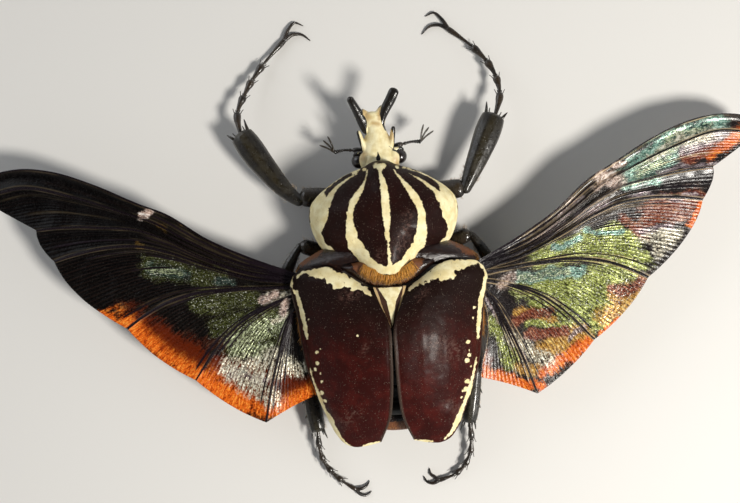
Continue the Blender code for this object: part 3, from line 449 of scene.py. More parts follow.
class Paint:
    """Builds one material out of procedural textures; sizes are in millimetres."""

    def __init__(self, name, **sockets):
        self.material = bpy.data.materials.new(name)
        self.material.use_nodes = True
        self.tree = self.material.node_tree
        self.shader = self.tree.nodes["Principled BSDF"]
        for socket, value in sockets.items():
            self.shader.inputs[socket.replace("_", " ")].default_value = value
        place = self.node("TexCoord", {})["Object"]
        self.place = self.node("VectorMath", {0: place, "Scale": 1 / UNIT}, operation="SCALE")[0]
        self.normal = None

    def feed(self, socket, value):
        """Links or sets one input; three numbers are a colour."""
        if isinstance(value, bpy.types.NodeSocket):
            self.tree.links.new(value, socket)
        elif isinstance(value, (tuple, list)):
            socket.default_value = (*value, 1.0)
        else:
            socket.default_value = value

    def node(self, kind, inputs, **settings):
        """The outputs of a new node, with its settings made and its inputs fed."""
        node = self.tree.nodes.new("ShaderNode" + kind)
        for name, value in settings.items():
            setattr(node, name, value)
        for socket, value in inputs.items():
            self.feed(node.inputs[socket], value)
        return node.outputs

    def field(self, name):
        """A value carried by the points of the skin."""
        return self.node("Attribute", {}, attribute_name=name)["Fac"]

    def pair(self, across, pace, along, stride):
        """A place on the membrane, from how far it lies across the veins and along them."""
        place = {0: self.times(self.field(across), pace), 1: self.times(self.field(along), stride)}
        return self.node("CombineXYZ", place)[0]

    def noise(self, size, detail=2.0, roughness=0.5, place=None):
        """A cloudy texture from about 0 to 1."""
        inputs = {"Scale": 1 / size, "Detail": detail, "Roughness": roughness, "Vector": place or self.place}
        return self.node("TexNoise", inputs)["Fac"]

    def cells(self, size, randomness=1.0):
        """The distance to the middle of the nearest of many cells, for pits."""
        inputs = {"Scale": 1 / size, "Randomness": randomness, "Vector": self.place}
        return self.node("TexVoronoi", inputs)["Distance"]

    def math(self, operation, a, b=0.0):
        """One sum worked out in the material."""
        return self.node("Math", {0: a, 1: b}, operation=operation)[0]

    def times(self, a, b):
        return self.math("MULTIPLY", a, b)

    def plus(self, a, b):
        return self.math("ADD", a, b)

    def swing(self, value, reach):
        """A texture's swing about its middle value of a half, times a reach."""
        return self.times(self.math("SUBTRACT", value, 0.5), reach)

    def mixed(self, *shares):
        """The sum of values, each with a share of its own."""
        total = 0.0
        for value, share in shares:
            total = self.plus(self.times(value, share), total)
        return total

    def span(self, value, low, high, start=0.0, end=1.0):
        """The value eased from start at low to end at high."""
        inputs = {"Value": value, "From Min": low, "From Max": high, "To Min": start, "To Max": end}
        return self.node("MapRange", inputs, interpolation_type="SMOOTHSTEP")[0]

    def blend(self, share, first, second):
        """A colour between two others."""
        return self.node("Mix", {0: share, 6: first, 7: second}, data_type="RGBA")[2]

    def mottled(self, size, detail, first, second, low=0.3, high=0.7):
        """A colour that drifts between two others in cloudy patches of a size."""
        return self.blend(self.span(self.noise(size, detail), low, high), first, second)

    def bump(self, height, depth):
        """Relief of a depth in millimetres, over what was there before."""
        inputs = {"Distance": depth * UNIT, "Height": height}
        if self.normal:
            inputs["Normal"] = self.normal
        self.normal = self.node("Bump", inputs)["Normal"]

    def finish(self, colour, roughness, metallic=None):
        """The material, once its colour and shine are fed to the shader."""
        inputs = {"Base Color": colour, "Roughness": roughness, "Metallic": metallic, "Normal": self.normal}
        for socket, value in inputs.items():
            if value is not None:
                self.feed(self.shader.inputs[socket], value)
        return self.material


CREAM = (0.76, 0.64, 0.33)
PALE_CREAM = (0.92, 0.84, 0.54)
TAN_SHADE = (0.50, 0.33, 0.13)
BLACK = (0.010, 0.008, 0.006)
VELVET_BLACK = (0.011, 0.005, 0.004)
MAROON = (0.030, 0.0050, 0.0040)
DEEP_RED = (0.068, 0.0085, 0.0060)
WORN = (0.095, 0.048, 0.038)
RIM_BROWN = (0.050, 0.034, 0.026)
DUST = (0.40, 0.33, 0.26)
SCALE_EDGE = (0.62, 0.48, 0.25)
SCALE_FLECK = (0.45, 0.36, 0.22)
UNDERSIDE = (0.022, 0.014, 0.010)
PLEAT_SHADE = (0.016, 0.009, 0.007)
CREASE_SHADE = (0.014, 0.012, 0.008)
PAINTED_GLINT = (0.90, 0.92, 0.80)
PIPING = (0.56, 0.42, 0.24)
VEIN_BLACK = (0.010, 0.006, 0.009)
FLANK_HAIR = (0.36, 0.14, 0.026)


def cream_edge(paint, name="cream", reach=0.30):
    """The depth inside a field's marks, then 1 inside and 0 outside, with edges as ragged as real scales."""
    coarse = paint.swing(paint.noise(0.9, 1.0), 2.2 * reach)
    fine = paint.swing(paint.noise(0.32, 1.0), 1.5 * reach)
    depth = paint.plus(paint.plus(paint.field(name), coarse), fine)
    return depth, paint.span(depth, -0.05, 0.07)


def shell_paint():
    """Velvety maroon-black shell with cream scales laid over it."""
    paint = Paint("shell", Specular_IOR_Level=0.06, Coat_Weight=0.03, Coat_Roughness=0.14)
    depth, cream = cream_edge(paint)
    rear = paint.span(paint.field("rear"), 0.0, 1.0)
    velvet = paint.blend(rear, VELVET_BLACK, MAROON)
    mottle = paint.times(paint.span(paint.noise(4.5, 4.0, 0.65), 0.40, 0.72), rear)
    velvet = paint.blend(paint.times(mottle, 0.75), velvet, DEEP_RED)
    worn = paint.times(paint.field("worn"), paint.span(paint.noise(1.0, 4.0, 0.75), 0.46, 0.60))
    velvet = paint.blend(paint.times(worn, 0.8), velvet, WORN)
    velvet = paint.blend(paint.field("rim"), velvet, RIM_BROWN)
    dust = paint.times(paint.span(paint.noise(0.30, 1.0, 0.9), 0.70, 0.74), 0.5)
    velvet = paint.blend(dust, velvet, DUST)
    scales = paint.mottled(2.6, 3.0, CREAM, PALE_CREAM)
    scales = paint.blend(paint.span(depth, 0.0, 0.3, 0.45, 0.0), scales, SCALE_EDGE)
    scales = paint.blend(paint.span(paint.noise(0.5, 1.0), 0.66, 0.74, 0.0, 0.5), scales, SCALE_FLECK)
    colour = paint.blend(cream, velvet, scales)
    colour = paint.blend(paint.field("under"), colour, UNDERSIDE)
    paint.bump(paint.noise(0.22, 2.0, 0.6), 0.030)
    paint.bump(paint.span(paint.cells(0.55), 0.0, 0.35), 0.035)
    paint.bump(cream, 0.06)
    paint.bump(paint.noise(4.0, 2.0), 0.25)
    base = paint.span(paint.noise(2.2, 3.0), 0.3, 0.7, 0.32, 0.52)
    rough = paint.span(cream, 0.0, 1.0, base, 0.50)
    return paint.finish(colour, rough)


def chitin_paint(name, dark, light, sheen, roughness=0.22, pit=0.5, hairy=(0.0, 0.0, 0.0), coat=0.35):
    """Glossy horny skin: dark with a lighter sheen along its crests, finely pitted."""
    paint = Paint(name, Coat_Weight=coat, Coat_Roughness=0.12)
    colour = paint.mottled(3.0, 3.0, dark, light, 0.35)
    colour = paint.blend(paint.times(paint.field("crest"), 0.8), colour, sheen)
    colour = paint.blend(paint.field("velvet"), colour, hairy)
    # painted shade: the abdomen's back, seen through the gap between the wing cases, darkened and dulled
    colour = paint.blend(paint.field("shade"), colour, (0.005, 0.003, 0.003))
    paint.bump(paint.span(paint.cells(pit), 0.0, 0.4), 0.05)
    paint.bump(paint.noise(0.25, 2.0), 0.02)
    paint.bump(paint.noise(1.6, 2.0), 0.12)
    rough = paint.span(paint.noise(1.2, 3.0), 0.3, 0.7, roughness, roughness + 0.16)
    rough = paint.plus(rough, paint.mixed((paint.field("velvet"), 0.35), (paint.field("shade"), 0.4)))
    return paint.finish(colour, rough)


def face_paint():
    """The cream face with its black marks, over a dark lower head."""
    paint = Paint("face", Coat_Weight=0.2, Coat_Roughness=0.25)
    _, black = cream_edge(paint, "black", 0.12)
    cream = paint.mottled(1.6, 3.0, CREAM, PALE_CREAM)
    # painted shade: tan in the hollows of the face
    cream = paint.blend(paint.times(paint.field("tan"), 0.85), cream, TAN_SHADE)
    cream = paint.blend(paint.span(paint.cells(0.7), 0.0, 0.16, 0.35, 0.0), cream, (0.42, 0.30, 0.16))
    colour = paint.blend(black, cream, BLACK)
    paint.bump(paint.span(paint.cells(0.6), 0.0, 0.3), 0.05)
    paint.bump(paint.noise(0.3, 2.0), 0.03)
    paint.bump(paint.noise(1.5, 2.0), 0.15)
    rough = paint.span(black, 0.0, 1.0, 0.48, 0.22)
    return paint.finish(colour, rough)


def wedge_paint():
    """The scutellum: cream with dark bars and thin tan lines."""
    paint = Paint("wedge", Coat_Weight=0.2, Coat_Roughness=0.25)
    _, cream = cream_edge(paint, "cream", 0.10)
    _, tan = cream_edge(paint, "tan", 0.06)
    scales = paint.mottled(1.4, 3.0, CREAM, PALE_CREAM, 0.35)
    dark = paint.blend(paint.noise(1.5, 2.0), (0.030, 0.013, 0.008), (0.075, 0.030, 0.014))
    colour = paint.blend(tan, dark, (0.60, 0.42, 0.20))
    colour = paint.blend(cream, colour, scales)
    paint.bump(paint.noise(0.25, 2.0), 0.03)
    paint.bump(cream, 0.05)
    return paint.finish(colour, paint.span(cream, 0.0, 1.0, 0.30, 0.5))


def velvet_paint():
    """Rust-coloured velvet between the shell plates, darker toward the back."""
    paint = Paint("rust")
    ragged = paint.plus(paint.field("glow"), paint.swing(paint.noise(0.8, 3.0), 1.0))
    glow = paint.span(ragged, 0.15, 0.8)
    colour = paint.blend(glow, (0.012, 0.005, 0.004), (0.150, 0.046, 0.010))
    dull = paint.span(paint.noise(0.6, 3.0), 0.5, 0.7, 0.0, 0.5)
    colour = paint.blend(dull, colour, (0.040, 0.014, 0.006))
    paint.bump(paint.noise(0.25, 3.0, 0.7), 0.06)
    paint.bump(paint.noise(1.5, 2.0), 0.25)
    return paint.finish(colour, paint.span(glow, 0.0, 1.0, 0.24, 0.6))


def hair_paint(name, dark, light):
    """Hair, each one a shade of its own."""
    paint = Paint(name, Sheen_Weight=0.1, Sheen_Roughness=0.4)
    return paint.finish(paint.blend(paint.span(paint.field("tone"), 0.1, 0.9), dark, light), 0.45)


def eye_paint():
    """A black faceted eye."""
    paint = Paint("eye", Coat_Weight=0.6, Coat_Roughness=0.06)
    paint.bump(paint.span(paint.cells(0.12, randomness=0.2), 0.0, 0.5), 0.012)
    colour = paint.blend(paint.noise(1.0, 2.0), (0.006, 0.005, 0.006), (0.020, 0.014, 0.012))
    return paint.finish(colour, 0.14)


WING_TINTS = (
    # field, its colours in the furrows (painted shade), between them and on the crests (painted highlight),
    # how strongly it shows
    ("smoke", (0.004, 0.003, 0.004), (0.011, 0.008, 0.009), (0.034, 0.025, 0.026), 1.0),
    ("green", (0.026, 0.028, 0.006), (0.33, 0.38, 0.080), (0.84, 0.92, 0.36), 1.0),
    ("gold", (0.090, 0.026, 0.006), (0.48, 0.25, 0.040), (0.80, 0.58, 0.20), 1.0),
    ("rust", (0.026, 0.005, 0.003), (0.18, 0.034, 0.014), (0.52, 0.26, 0.15), 1.0),
    ("teal", (0.018, 0.042, 0.036), (0.20, 0.38, 0.31), (0.62, 0.88, 0.76), 1.0),
    # the ember margin: the membrane's red-brown with painted light shining through it
    ("ember", (0.30, 0.036, 0.004), (0.72, 0.130, 0.010), (0.88, 0.31, 0.045), 1.0),
    ("lilac", (0.040, 0.026, 0.032), (0.24, 0.18, 0.21), (0.70, 0.60, 0.62), 0.8),
    # painted glitter highlights, green-white and white; some of the white also marks the pale stigma
    ("pearl", (0.060, 0.066, 0.036), (0.26, 0.30, 0.16), (0.76, 0.84, 0.54), 0.9),
    ("frost", (0.120, 0.090, 0.060), (0.60, 0.54, 0.40), (0.95, 0.93, 0.80), 0.95),
    # a painted highlight on the crumpled membrane
    ("folded", (0.060, 0.034, 0.028), (0.52, 0.38, 0.32), (0.98, 0.90, 0.84), 1.0),
)
SHINY_TINTS = ("green", "teal", "lilac", "pearl", "frost")
# tints left at full brightness where light dims a wing's colours as painted shade: the painted backlight of
# the ember margin, lilac and the painted glints
SUNLIT_TINTS = ("ember", "lilac", "pearl", "frost", "folded")
# the painted glints, broken into flecks
FLECKED_TINTS = ("pearl", "frost")
EMBER_DEEP = (0.095, 0.012, 0.002)


def wing_paint(name, ground, second, light, piping, gloss):
    """Veined membrane with a metallic play of colours, burnt orange toward its margin, partly the membrane's
    red-brown and partly painted light shining through it; light dims most tints as painted shade.
    """
    paint = Paint(name, Specular_IOR_Level=gloss, Coat_Weight=gloss / 2, Coat_Roughness=0.14)
    grain = paint.noise(0.50, 3.0, 0.7)
    blotch = paint.noise(2.8, 4.0, 0.7)
    streak = paint.noise(1.0, 3.0, 0.65, paint.pair("fan", 1.2, "along", 6.0))
    fine = paint.noise(1.0, 2.0, 0.7, paint.pair("fan", 2.6, "along", 26.0))
    rag = paint.mixed((streak, 0.42), (blotch, 0.33), (grain, 0.25))
    sway = paint.swing(rag, 3.0)
    tone = paint.mixed((fine, 0.45), (grain, 0.30), (streak, 0.25))
    low = paint.span(tone, 0.42, 0.50)
    high = paint.span(tone, 0.51, 0.59)
    folds = paint.math("ABSOLUTE", paint.swing(paint.noise(3.2, 3.0, 0.6), 1.0))
    hem = paint.plus(paint.field("hem"), paint.times(sway, 0.35))
    colour = paint.blend(paint.times(low, high), ground, second)
    glow = None
    shine = None
    for field, furrow, middle, crest, share in WING_TINTS:
        here = paint.field(field)
        rim = paint.times(sway, paint.span(here, 0.0, 0.20))
        mask = paint.span(paint.plus(here, rim), 0.15, 0.75, 0.0, share)
        # painted shade: light dims the other tints on the wing that lies in shade
        level = 1.0 if field in SUNLIT_TINTS else light
        furrow, middle, crest = ([v * level for v in shade] for shade in (furrow, middle, crest))
        # each tint's own hue, with painted shade in its furrows and painted highlights on its crests, placed
        # by a noise
        tint = paint.blend(high, paint.blend(low, furrow, middle), crest)
        # painted backlight: brightest at the margin, deep red EMBER_DEEP toward its inner edge
        if field == "ember":
            outer = paint.span(hem, 0.30, 1.05)
            tint = paint.blend(paint.times(outer, outer), EMBER_DEEP, tint)
            glow = mask
        if field in FLECKED_TINTS:
            mask = paint.times(mask, paint.span(tone, 0.43, 0.53))
        colour = paint.blend(mask, colour, tint)
        if field in SHINY_TINTS:
            shine = mask if shine is None else paint.math("MAXIMUM", shine, mask)
    # dark lines along the pleats: partly the membrane's fold lines, partly painted shade in the grooves,
    # faded where the margin is painted backlit
    stripe = paint.math("SINE", paint.times(paint.field("fan"), 2 * math.pi))
    wavy = paint.plus(stripe, paint.swing(streak, 3.0))
    pleat_shade = paint.times(paint.span(wavy, 0.2, 1.1), paint.field("pleat"))
    pleat_shade = paint.times(pleat_shade, paint.span(glow, 0.0, 1.0, 0.55, 0.08))
    colour = paint.blend(pleat_shade, colour, PLEAT_SHADE)
    # painted shade: dark crumple lines over the shiny tints
    crease_shade = paint.times(paint.span(folds, 0.0, 0.035, 0.8, 0.0), shine)
    colour = paint.blend(crease_shade, colour, CREASE_SHADE)
    # painted glints: pale specks over the shiny tints, stronger on the lit wing
    painted_glints = paint.span(paint.noise(0.42, 1.0, 0.8), 0.62, 0.69, 0.0, 0.45 + 0.35 * light)
    painted_glints = paint.times(painted_glints, paint.plus(shine, 0.02))
    colour = paint.blend(painted_glints, colour, PAINTED_GLINT)
    worn = paint.span(streak, 0.40, 0.58, 0.10 * piping, piping)
    colour = paint.blend(paint.times(paint.field("piping"), worn), colour, PIPING)
    colour = paint.blend(paint.span(paint.field("vein"), 0.2, 0.7), colour, VEIN_BLACK)
    paint.bump(grain, 0.04)
    paint.bump(fine, 0.06)
    paint.bump(stripe, 0.03)
    paint.bump(paint.noise(1.1, 2.0, 0.5), 0.14)
    rough = paint.span(grain, 0.35, 0.65, 0.20, 0.38)
    return paint.finish(colour, rough, paint.times(shine, 0.30))


SHELL = shell_paint()
FACE = face_paint()
WEDGE = wedge_paint()
RUST = velvet_paint()
LEG = chitin_paint("leg", (0.010, 0.008, 0.007), (0.030, 0.020, 0.013), (0.060, 0.042, 0.020), 0.20)
SHIN = chitin_paint("shin", (0.007, 0.005, 0.003), (0.018, 0.014, 0.007), (0.038, 0.029, 0.011), 0.24, 0.4)
BELLY = chitin_paint(
    "belly", (0.014, 0.010, 0.008), (0.040, 0.026, 0.014), (0.09, 0.055, 0.025), 0.24, 0.6, FLANK_HAIR
)
ABDOMEN = chitin_paint(
    "abdomen", BLACK, (0.028, 0.019, 0.011), (0.06, 0.04, 0.02), 0.30, 0.6, FLANK_HAIR, 0.05
)
EYE_BLACK = eye_paint()
GOLD_HAIR = hair_paint("gold_hair", (0.11, 0.030, 0.004), (0.66, 0.31, 0.045))
PALE_HAIR = hair_paint("pale_hair", (0.28, 0.18, 0.11), (0.82, 0.68, 0.52))


# Shield

SHIELD_CENTRE = (0.0, 26.0)
SHIELD_PEAK = 27.4
SHIELD_FLOOR = 4.6
SHIELD_RIM = [
    (0.0, 42.3), (2.4, 41.9), (4.6, 40.9), (8.0, 39.9), (11.8, 38.3), (15.2, 36.2), (18.4, 33.8),
    (20.7, 31.0), (21.4, 27.8), (21.0, 24.6), (19.9, 21.3), (18.0, 18.2), (15.2, 16.7),
    (12.2, 15.7), (9.2, 14.1), (6.8, 12.0), (3.8, 10.5), (0.0, 9.9),
]
SHIELD_STRIPES = [
    # each is (x, y, half width) along the stripe
    [(-0.3, 40.2, 1.0), (-0.3, 38.7, 0.50), (0.0, 36.7, 0.72), (0.4, 33.9, 1.02), (0.5, 31.1, 1.10),
     (0.5, 28.4, 1.15), (0.5, 25.1, 0.99), (0.5, 21.8, 0.71), (0.5, 17.9, 0.44), (0.4, 14.1, 0.55),
     (0.2, 11.9, 0.82)],
    [(-3.7, 39.6, 0.25), (-4.6, 36.6, 0.30), (-6.0, 33.9, 0.66), (-7.9, 31.3, 0.97), (-9.1, 28.6, 0.86),
     (-9.6, 25.9, 0.91), (-9.5, 23.1, 1.38), (-9.2, 20.3, 1.74), (-7.9, 17.4, 2.05), (-6.5, 14.8, 1.93),
     (-3.9, 12.4, 1.52), (0.2, 10.9, 1.05)],
    [(3.6, 39.0, 0.22), (5.6, 35.8, 0.47), (7.5, 32.9, 0.94), (9.1, 30.0, 1.11), (10.1, 27.2, 0.99),
     (10.1, 24.4, 1.16), (10.0, 21.7, 1.49), (9.5, 18.9, 1.80), (7.9, 16.3, 1.77), (6.2, 13.9, 1.93),
     (3.9, 12.1, 1.66), (0.2, 10.9, 1.05)],
    [(-8.1, 39.7, 0.23), (-10.8, 38.8, 0.31), (-14.3, 36.9, 0.51), (-17.1, 34.7, 0.85), (-18.0, 31.6, 2.51),
     (-18.1, 28.8, 2.85), (-18.7, 26.2, 2.39), (-19.3, 24.0, 1.71), (-19.0, 21.7, 1.42), (-17.9, 19.3, 1.25),
     (-16.0, 17.6, 1.03), (-14.1, 16.6, 0.63), (-12.2, 15.9, 0.23)],
    [(-15.8, 30.7, 1.24), (-14.5, 33.2, 0.79), (-13.1, 34.9, 0.56), (-11.1, 36.5, 0.39), (-8.8, 37.9, 0.25),
     (-6.7, 38.8, 0.11)],
    [(6.2, 39.8, 0.23), (10.3, 38.4, 0.26), (13.9, 36.7, 0.34), (16.4, 34.8, 0.63), (17.9, 32.4, 1.82),
     (18.3, 29.8, 2.73), (18.5, 26.9, 2.56), (18.9, 24.3, 2.11), (19.1, 22.0, 1.48), (18.6, 19.8, 1.37),
     (17.1, 17.9, 1.37), (15.3, 16.8, 0.85), (13.4, 16.0, 0.23)],
    [(16.1, 30.1, 1.30), (15.1, 31.9, 0.73), (13.5, 33.5, 0.56), (11.8, 35.1, 0.39), (9.8, 36.5, 0.25),
     (7.9, 37.8, 0.11)],
]
SHIELD_SPOTS = [
    (-1.3, 40.5, 0.8), (0.8, 40.4, 0.8), (-4.6, 39.9, 0.6), (4.7, 39.9, 0.6), (-7.4, 39.5, 0.9),
    (-6.2, 40.2, 0.6), (6.8, 39.9, 0.6), (8.0, 39.6, 0.5),
]
SHIELD_WORN = [(1.5, 15.5, 4.5, 19.0, 1.6), (5.5, 21.0, 6.5, 26.0, 1.2), (-3.0, 13.5, -1.5, 16.0, 1.0)]


def shield_rim(count):
    """Points round the shield's edge, with the height of the edge at each."""
    half = curve(*SHIELD_RIM)(np.linspace(0, 1, count // 2 + 1))
    plan = np.concatenate([half, half[-2:0:-1] * (-1, 1)])
    x, y = plan.T
    hood = 4.6 * np.exp(-((x / 5.5) ** 2)) * np.clip((y - 36) / 5, 0, 1)
    lobe = 11.4 * np.exp(-((x / 9.5) ** 2)) * np.clip((20 - y) / 6, 0, 1)
    return np.column_stack([plan, 13.2 + hood + lobe])


def make_shield():
    """The domed, striped shield, with a fine bead along its sides and a dark breast below."""
    count, levels = 336, 84
    rim = shield_rim(count)
    share = np.sin(np.linspace(0, math.pi / 2, levels + 1))[1:, None]
    plan = np.array(SHIELD_CENTRE) + (rim[None, :, :2] - SHIELD_CENTRE) * share[..., None]
    x, y = plan[..., 0], plan[..., 1]
    top = rim[:, 2] + (SHIELD_PEAK - rim[:, 2]) * (1 - share**2.5) ** 0.62
    beaded = ease(np.abs(rim[:, 0]), 5, 12)
    top += beaded * (0.30 * bell(share - 0.984, 0.008) - 0.30 * bell(share - 0.962, 0.014))
    top -= 0.35 * bell(np.hypot(np.abs(x) - 13.6, y - 25.5), 1.5)
    top += 0.45 * bell(np.hypot(x + 0.3, y - 41.0), 1.3)
    top += 0.05 * ripple(x, y, 9.0, 3)
    bottom = rim[:, 2] - (rim[:, 2] - SHIELD_FLOOR) * (1 - share**2.2) ** 0.55
    upper = np.stack([x, y, top], axis=-1)
    lower = np.stack([x, y, bottom], axis=-1)[:-1]
    peak = np.array([[*SHIELD_CENTRE, SHIELD_PEAK], [*SHIELD_CENTRE, SHIELD_FLOOR]])
    cream = inside_marks(upper, SHIELD_STRIPES, SHIELD_SPOTS)
    cream = cream + (0.08 + 0.16 * ease(-y, -30, -18)) * ripple(x, y, 2.6, 8)
    worn = soft_patches(x, y, SHIELD_WORN)
    around = np.arange(count)
    after = (around + 1) % count
    below = levels * count
    rim_start = below - count
    peak_start = below + rim_start
    bare = np.full(rim_start, FAR_OUTSIDE)
    skin = Skin().add(
        np.concatenate([upper.reshape(-1, 3), lower.reshape(-1, 3), peak]),
        grid_faces(levels, count, wrap=True),
        grid_faces(levels - 1, count, wrap=True)[:, ::-1] + below,
        np.column_stack([around, after, rim_start + after, rim_start + around]) + rim_start,
        np.column_stack([np.full(count, peak_start), around, after]),
        np.column_stack([np.full(count, peak_start + 1), below + after, below + around]),
        cream=np.concatenate([cream.ravel(), bare, [cream[0].mean(), FAR_OUTSIDE]]),
        worn=np.concatenate([worn.ravel(), np.zeros(rim_start + 2)]),
        under=np.concatenate([np.zeros(below), np.ones(rim_start), [0.0, 1.0]]),
        rear=0.22, rim=0.0,
    )
    return skin.piece("striped_shield", SHELL, ["prothorax"], "maroon_velvet")


# Head, with its forked horn, eyes, feelers and mouth

HEAD_STATIONS = [
    # y, half width, widest level, top, bottom
    (36.5, 5.6, 11.6, 15.2, 7.0), (39.5, 5.8, 11.4, 16.2, 6.6), (42.0, 5.5, 11.2, 16.5, 6.2),
    (44.2, 5.0, 11.2, 16.2, 6.2), (46.4, 4.5, 11.4, 15.8, 6.6), (48.8, 3.9, 11.7, 15.4, 7.4),
    (51.0, 3.0, 12.2, 15.2, 8.6), (53.0, 2.7, 12.9, 15.2, 10.2), (55.2, 2.5, 13.6, 15.4, 11.9),
]
LOBE = ((3.4, 45.2, 12.8), (4.3, 48.2, 13.8), (5.1, 51.6, 15.2))
CHEEK = ((3.7, 40.6, 13.4), (4.1, 43.2, 14.0), (3.8, 45.4, 13.6))
CANTHUS = ((4.2, 45.0, 12.2), (6.2, 45.5, 12.0), (7.4, 44.8, 11.6))
HORN_STEM = ((-0.3, 52.2, 13.5), (-0.5, 54.6, 13.9), (-0.4, 56.7, 14.2))
HORN_PRONGS = (
    # each is (x, y, z, half width) along the prong
    [(1.6, 52.0, 13.4, 0.9), (2.1, 54.2, 13.9, 1.1), (3.3, 56.6, 14.8, 1.4), (5.0, 59.0, 15.5, 1.5),
     (6.9, 62.1, 16.7, 1.45)],
    [(-2.6, 50.6, 13.0, 1.0), (-3.0, 53.0, 13.6, 1.55), (-4.0, 55.6, 14.5, 1.45), (-5.2, 58.4, 15.4, 1.2),
     (-6.5, 61.3, 16.5, 1.0)],
)
HORN_WEBS = (
    # each runs from the stem out to the inner side of a prong
    ((0.6, 55.4, 13.9), (2.9, 57.9, 14.6)), ((-1.2, 55.4, 13.9), (-3.5, 57.4, 14.4)),
)
EYE = (5.9, 43.3, 10.9)
EYE_RADIUS = 2.15
FEELER = ((4.0, 46.3, 10.4), (7.0, 46.7, 10.2), (9.8, 47.1, 9.8), (12.7, 46.9, 9.4))
FEELER_JOINTS = (
    # where each joint starts and ends along the feeler, and its half width
    (0.0, 0.40, 0.80), (0.39, 0.52, 0.50), (0.51, 0.61, 0.42), (0.60, 0.69, 0.42), (0.68, 0.77, 0.44),
    (0.76, 0.85, 0.50), (0.84, 0.92, 0.58), (0.91, 1.0, 0.66),
)
CLUB_LEAVES = ((1.5, 5.0), (3.0, 4.0), (4.2, 2.8))  # how far each leaf reaches out and ahead
CHIN_STATIONS = [
    (44.0, 3.0, 6.9, 8.2, 5.7), (46.5, 3.4, 6.7, 8.6, 5.4), (49.4, 2.9, 7.2, 9.4, 6.0),
    (51.0, 1.8, 7.8, 9.4, 6.8),
]
PALP = ((1.7, 48.4, 7.6), (2.2, 50.0, 6.9), (2.4, 51.6, 6.8), (2.2, 53.0, 7.3))
PALP_JOINTS = ((0.0, 0.36, 0.58), (0.34, 0.70, 0.54), (0.68, 1.0, 0.46))
JAW = ((1.4, 49.5, 8.4), (2.0, 51.6, 8.4), (1.5, 53.2, 8.6))
FACE_BLACK = [
    [(-7.8, 61.6, 2.2), (-6.4, 59.4, 2.2), (-5.5, 57.4, 1.75), (-5.0, 55.6, 1.25), (-4.4, 54.0, 1.45),
     (-4.0, 52.6, 1.1), (-3.9, 51.4, 0.75), (-3.5, 50.3, 0.3)],
    [(5.8, 62.2, 2.3), (4.8, 60.0, 2.3), (3.6, 58.0, 1.9), (2.8, 56.6, 1.5), (2.2, 55.3, 1.2),
     (1.8, 54.0, 0.6), (1.8, 52.6, 0.35), (2.3, 51.2, 0.3)],
    [(-0.35, 44.9, 0.05), (-0.35, 44.0, 0.28), (-0.35, 42.9, 0.7)],
    [(4.5, 52.9, 1.2), (4.6, 51.4, 0.8), (4.9, 49.6, 0.5), (4.7, 47.6, 0.3), (4.4, 46.2, 0.2),
     (4.0, 45.2, 0.3)],
    [(4.0, 45.2, 0.28), (4.9, 44.8, 0.25), (5.6, 44.2, 0.3)],
    [(2.8, 46.4, 0.06), (3.9, 45.5, 0.12)],
    [(-6.3, 52.6, 0.75), (-6.0, 50.8, 0.6), (-5.5, 48.9, 0.5), (-5.2, 47.2, 0.35), (-4.9, 45.4, 0.3)],
    [(-4.9, 45.4, 0.3), (-6.0, 44.6, 0.4)],
    [(-4.6, 58.4, 0.5), (-3.5, 57.8, 0.3), (-2.2, 57.4, 0.3), (-0.9, 57.3, 0.35), (0.5, 57.6, 0.3),
     (1.4, 58.2, 0.3), (2.6, 59.0, 0.5)],
]
# tan patches at the horn's base, beside the lobes, at the cheeks and by the shield: painted shade in these
# hollows
FACE_TAN_SHADE = [
    (-3.4, 56.8, -2.4, 54.8, 0.9), (1.0, 56.8, 0.7, 54.2, 0.5), (-1.2, 53.2, 0.4, 52.8, 0.6),
    (4.2, 51.4, 3.8, 48.6, 0.9), (-4.4, 44.6, -4.9, 43.2, 0.8), (4.6, 42.4, 4.9, 40.9, 0.7),
]


def head_field(skin):
    """Turns the head's skin into place and marks it."""
    skin.turn(HEAD_TURN, HEAD_PIVOT)
    x, y, z = skin.points.T
    black = inside_marks(skin.points, FACE_BLACK)
    skin.fields["black"] = np.maximum(black, 12.7 - z)
    skin.fields["tan"] = soft_patches(x, y, FACE_TAN_SHADE)
    return skin


def make_head():
    """The long flat face with a lobe before each eye and a cheek behind it."""
    parts = Skin().loft(trunk_rings(HEAD_STATIONS, 60, 72, 2.6, 2.4))
    for side in SIDES:
        lobe_width = profile((0, 1.1), (0.5, 0.8), (0.85, 0.68), (1, 0.5))
        lobe_height = profile((0, 1.8), (0.5, 1.3), (0.85, 0.95), (1, 0.7))
        parts.loft(tube_rings(curve_on(side, LOBE), lobe_width, lobe_height, 20, 24))
        cheek = profile((0, 1.5), (0.5, 1.7), (1, 1.2))
        parts.loft(tube_rings(curve_on(side, CHEEK), cheek, cheek, 20, 20, caps=0.3))
        bar = profile((0, 0.8), (0.6, 0.62), (1, 0.4))
        parts.loft(tube_rings(curve_on(side, CANTHUS), bar, bar, 14, 16, caps=0.2))
    skin = parts.melted(0.16, 6)
    x, y, z = skin.points.T
    above = ease(z, 13.0, 14.5)
    skin.points[:, 2] -= above * 0.45 * bell(x, 1.6) * bell(y - 43.6, 2.2)
    skin.points[:, 2] += above * 0.35 * bell(x, 1.3) * bell(y - 49.0, 4.0)
    skin.points[:, 2] -= above * 0.30 * bell(np.abs(x) - 2.9, 0.8) * bell(y - 50.5, 2.4)
    head_field(skin).piece("face", FACE, ["head"], "cream_scale")


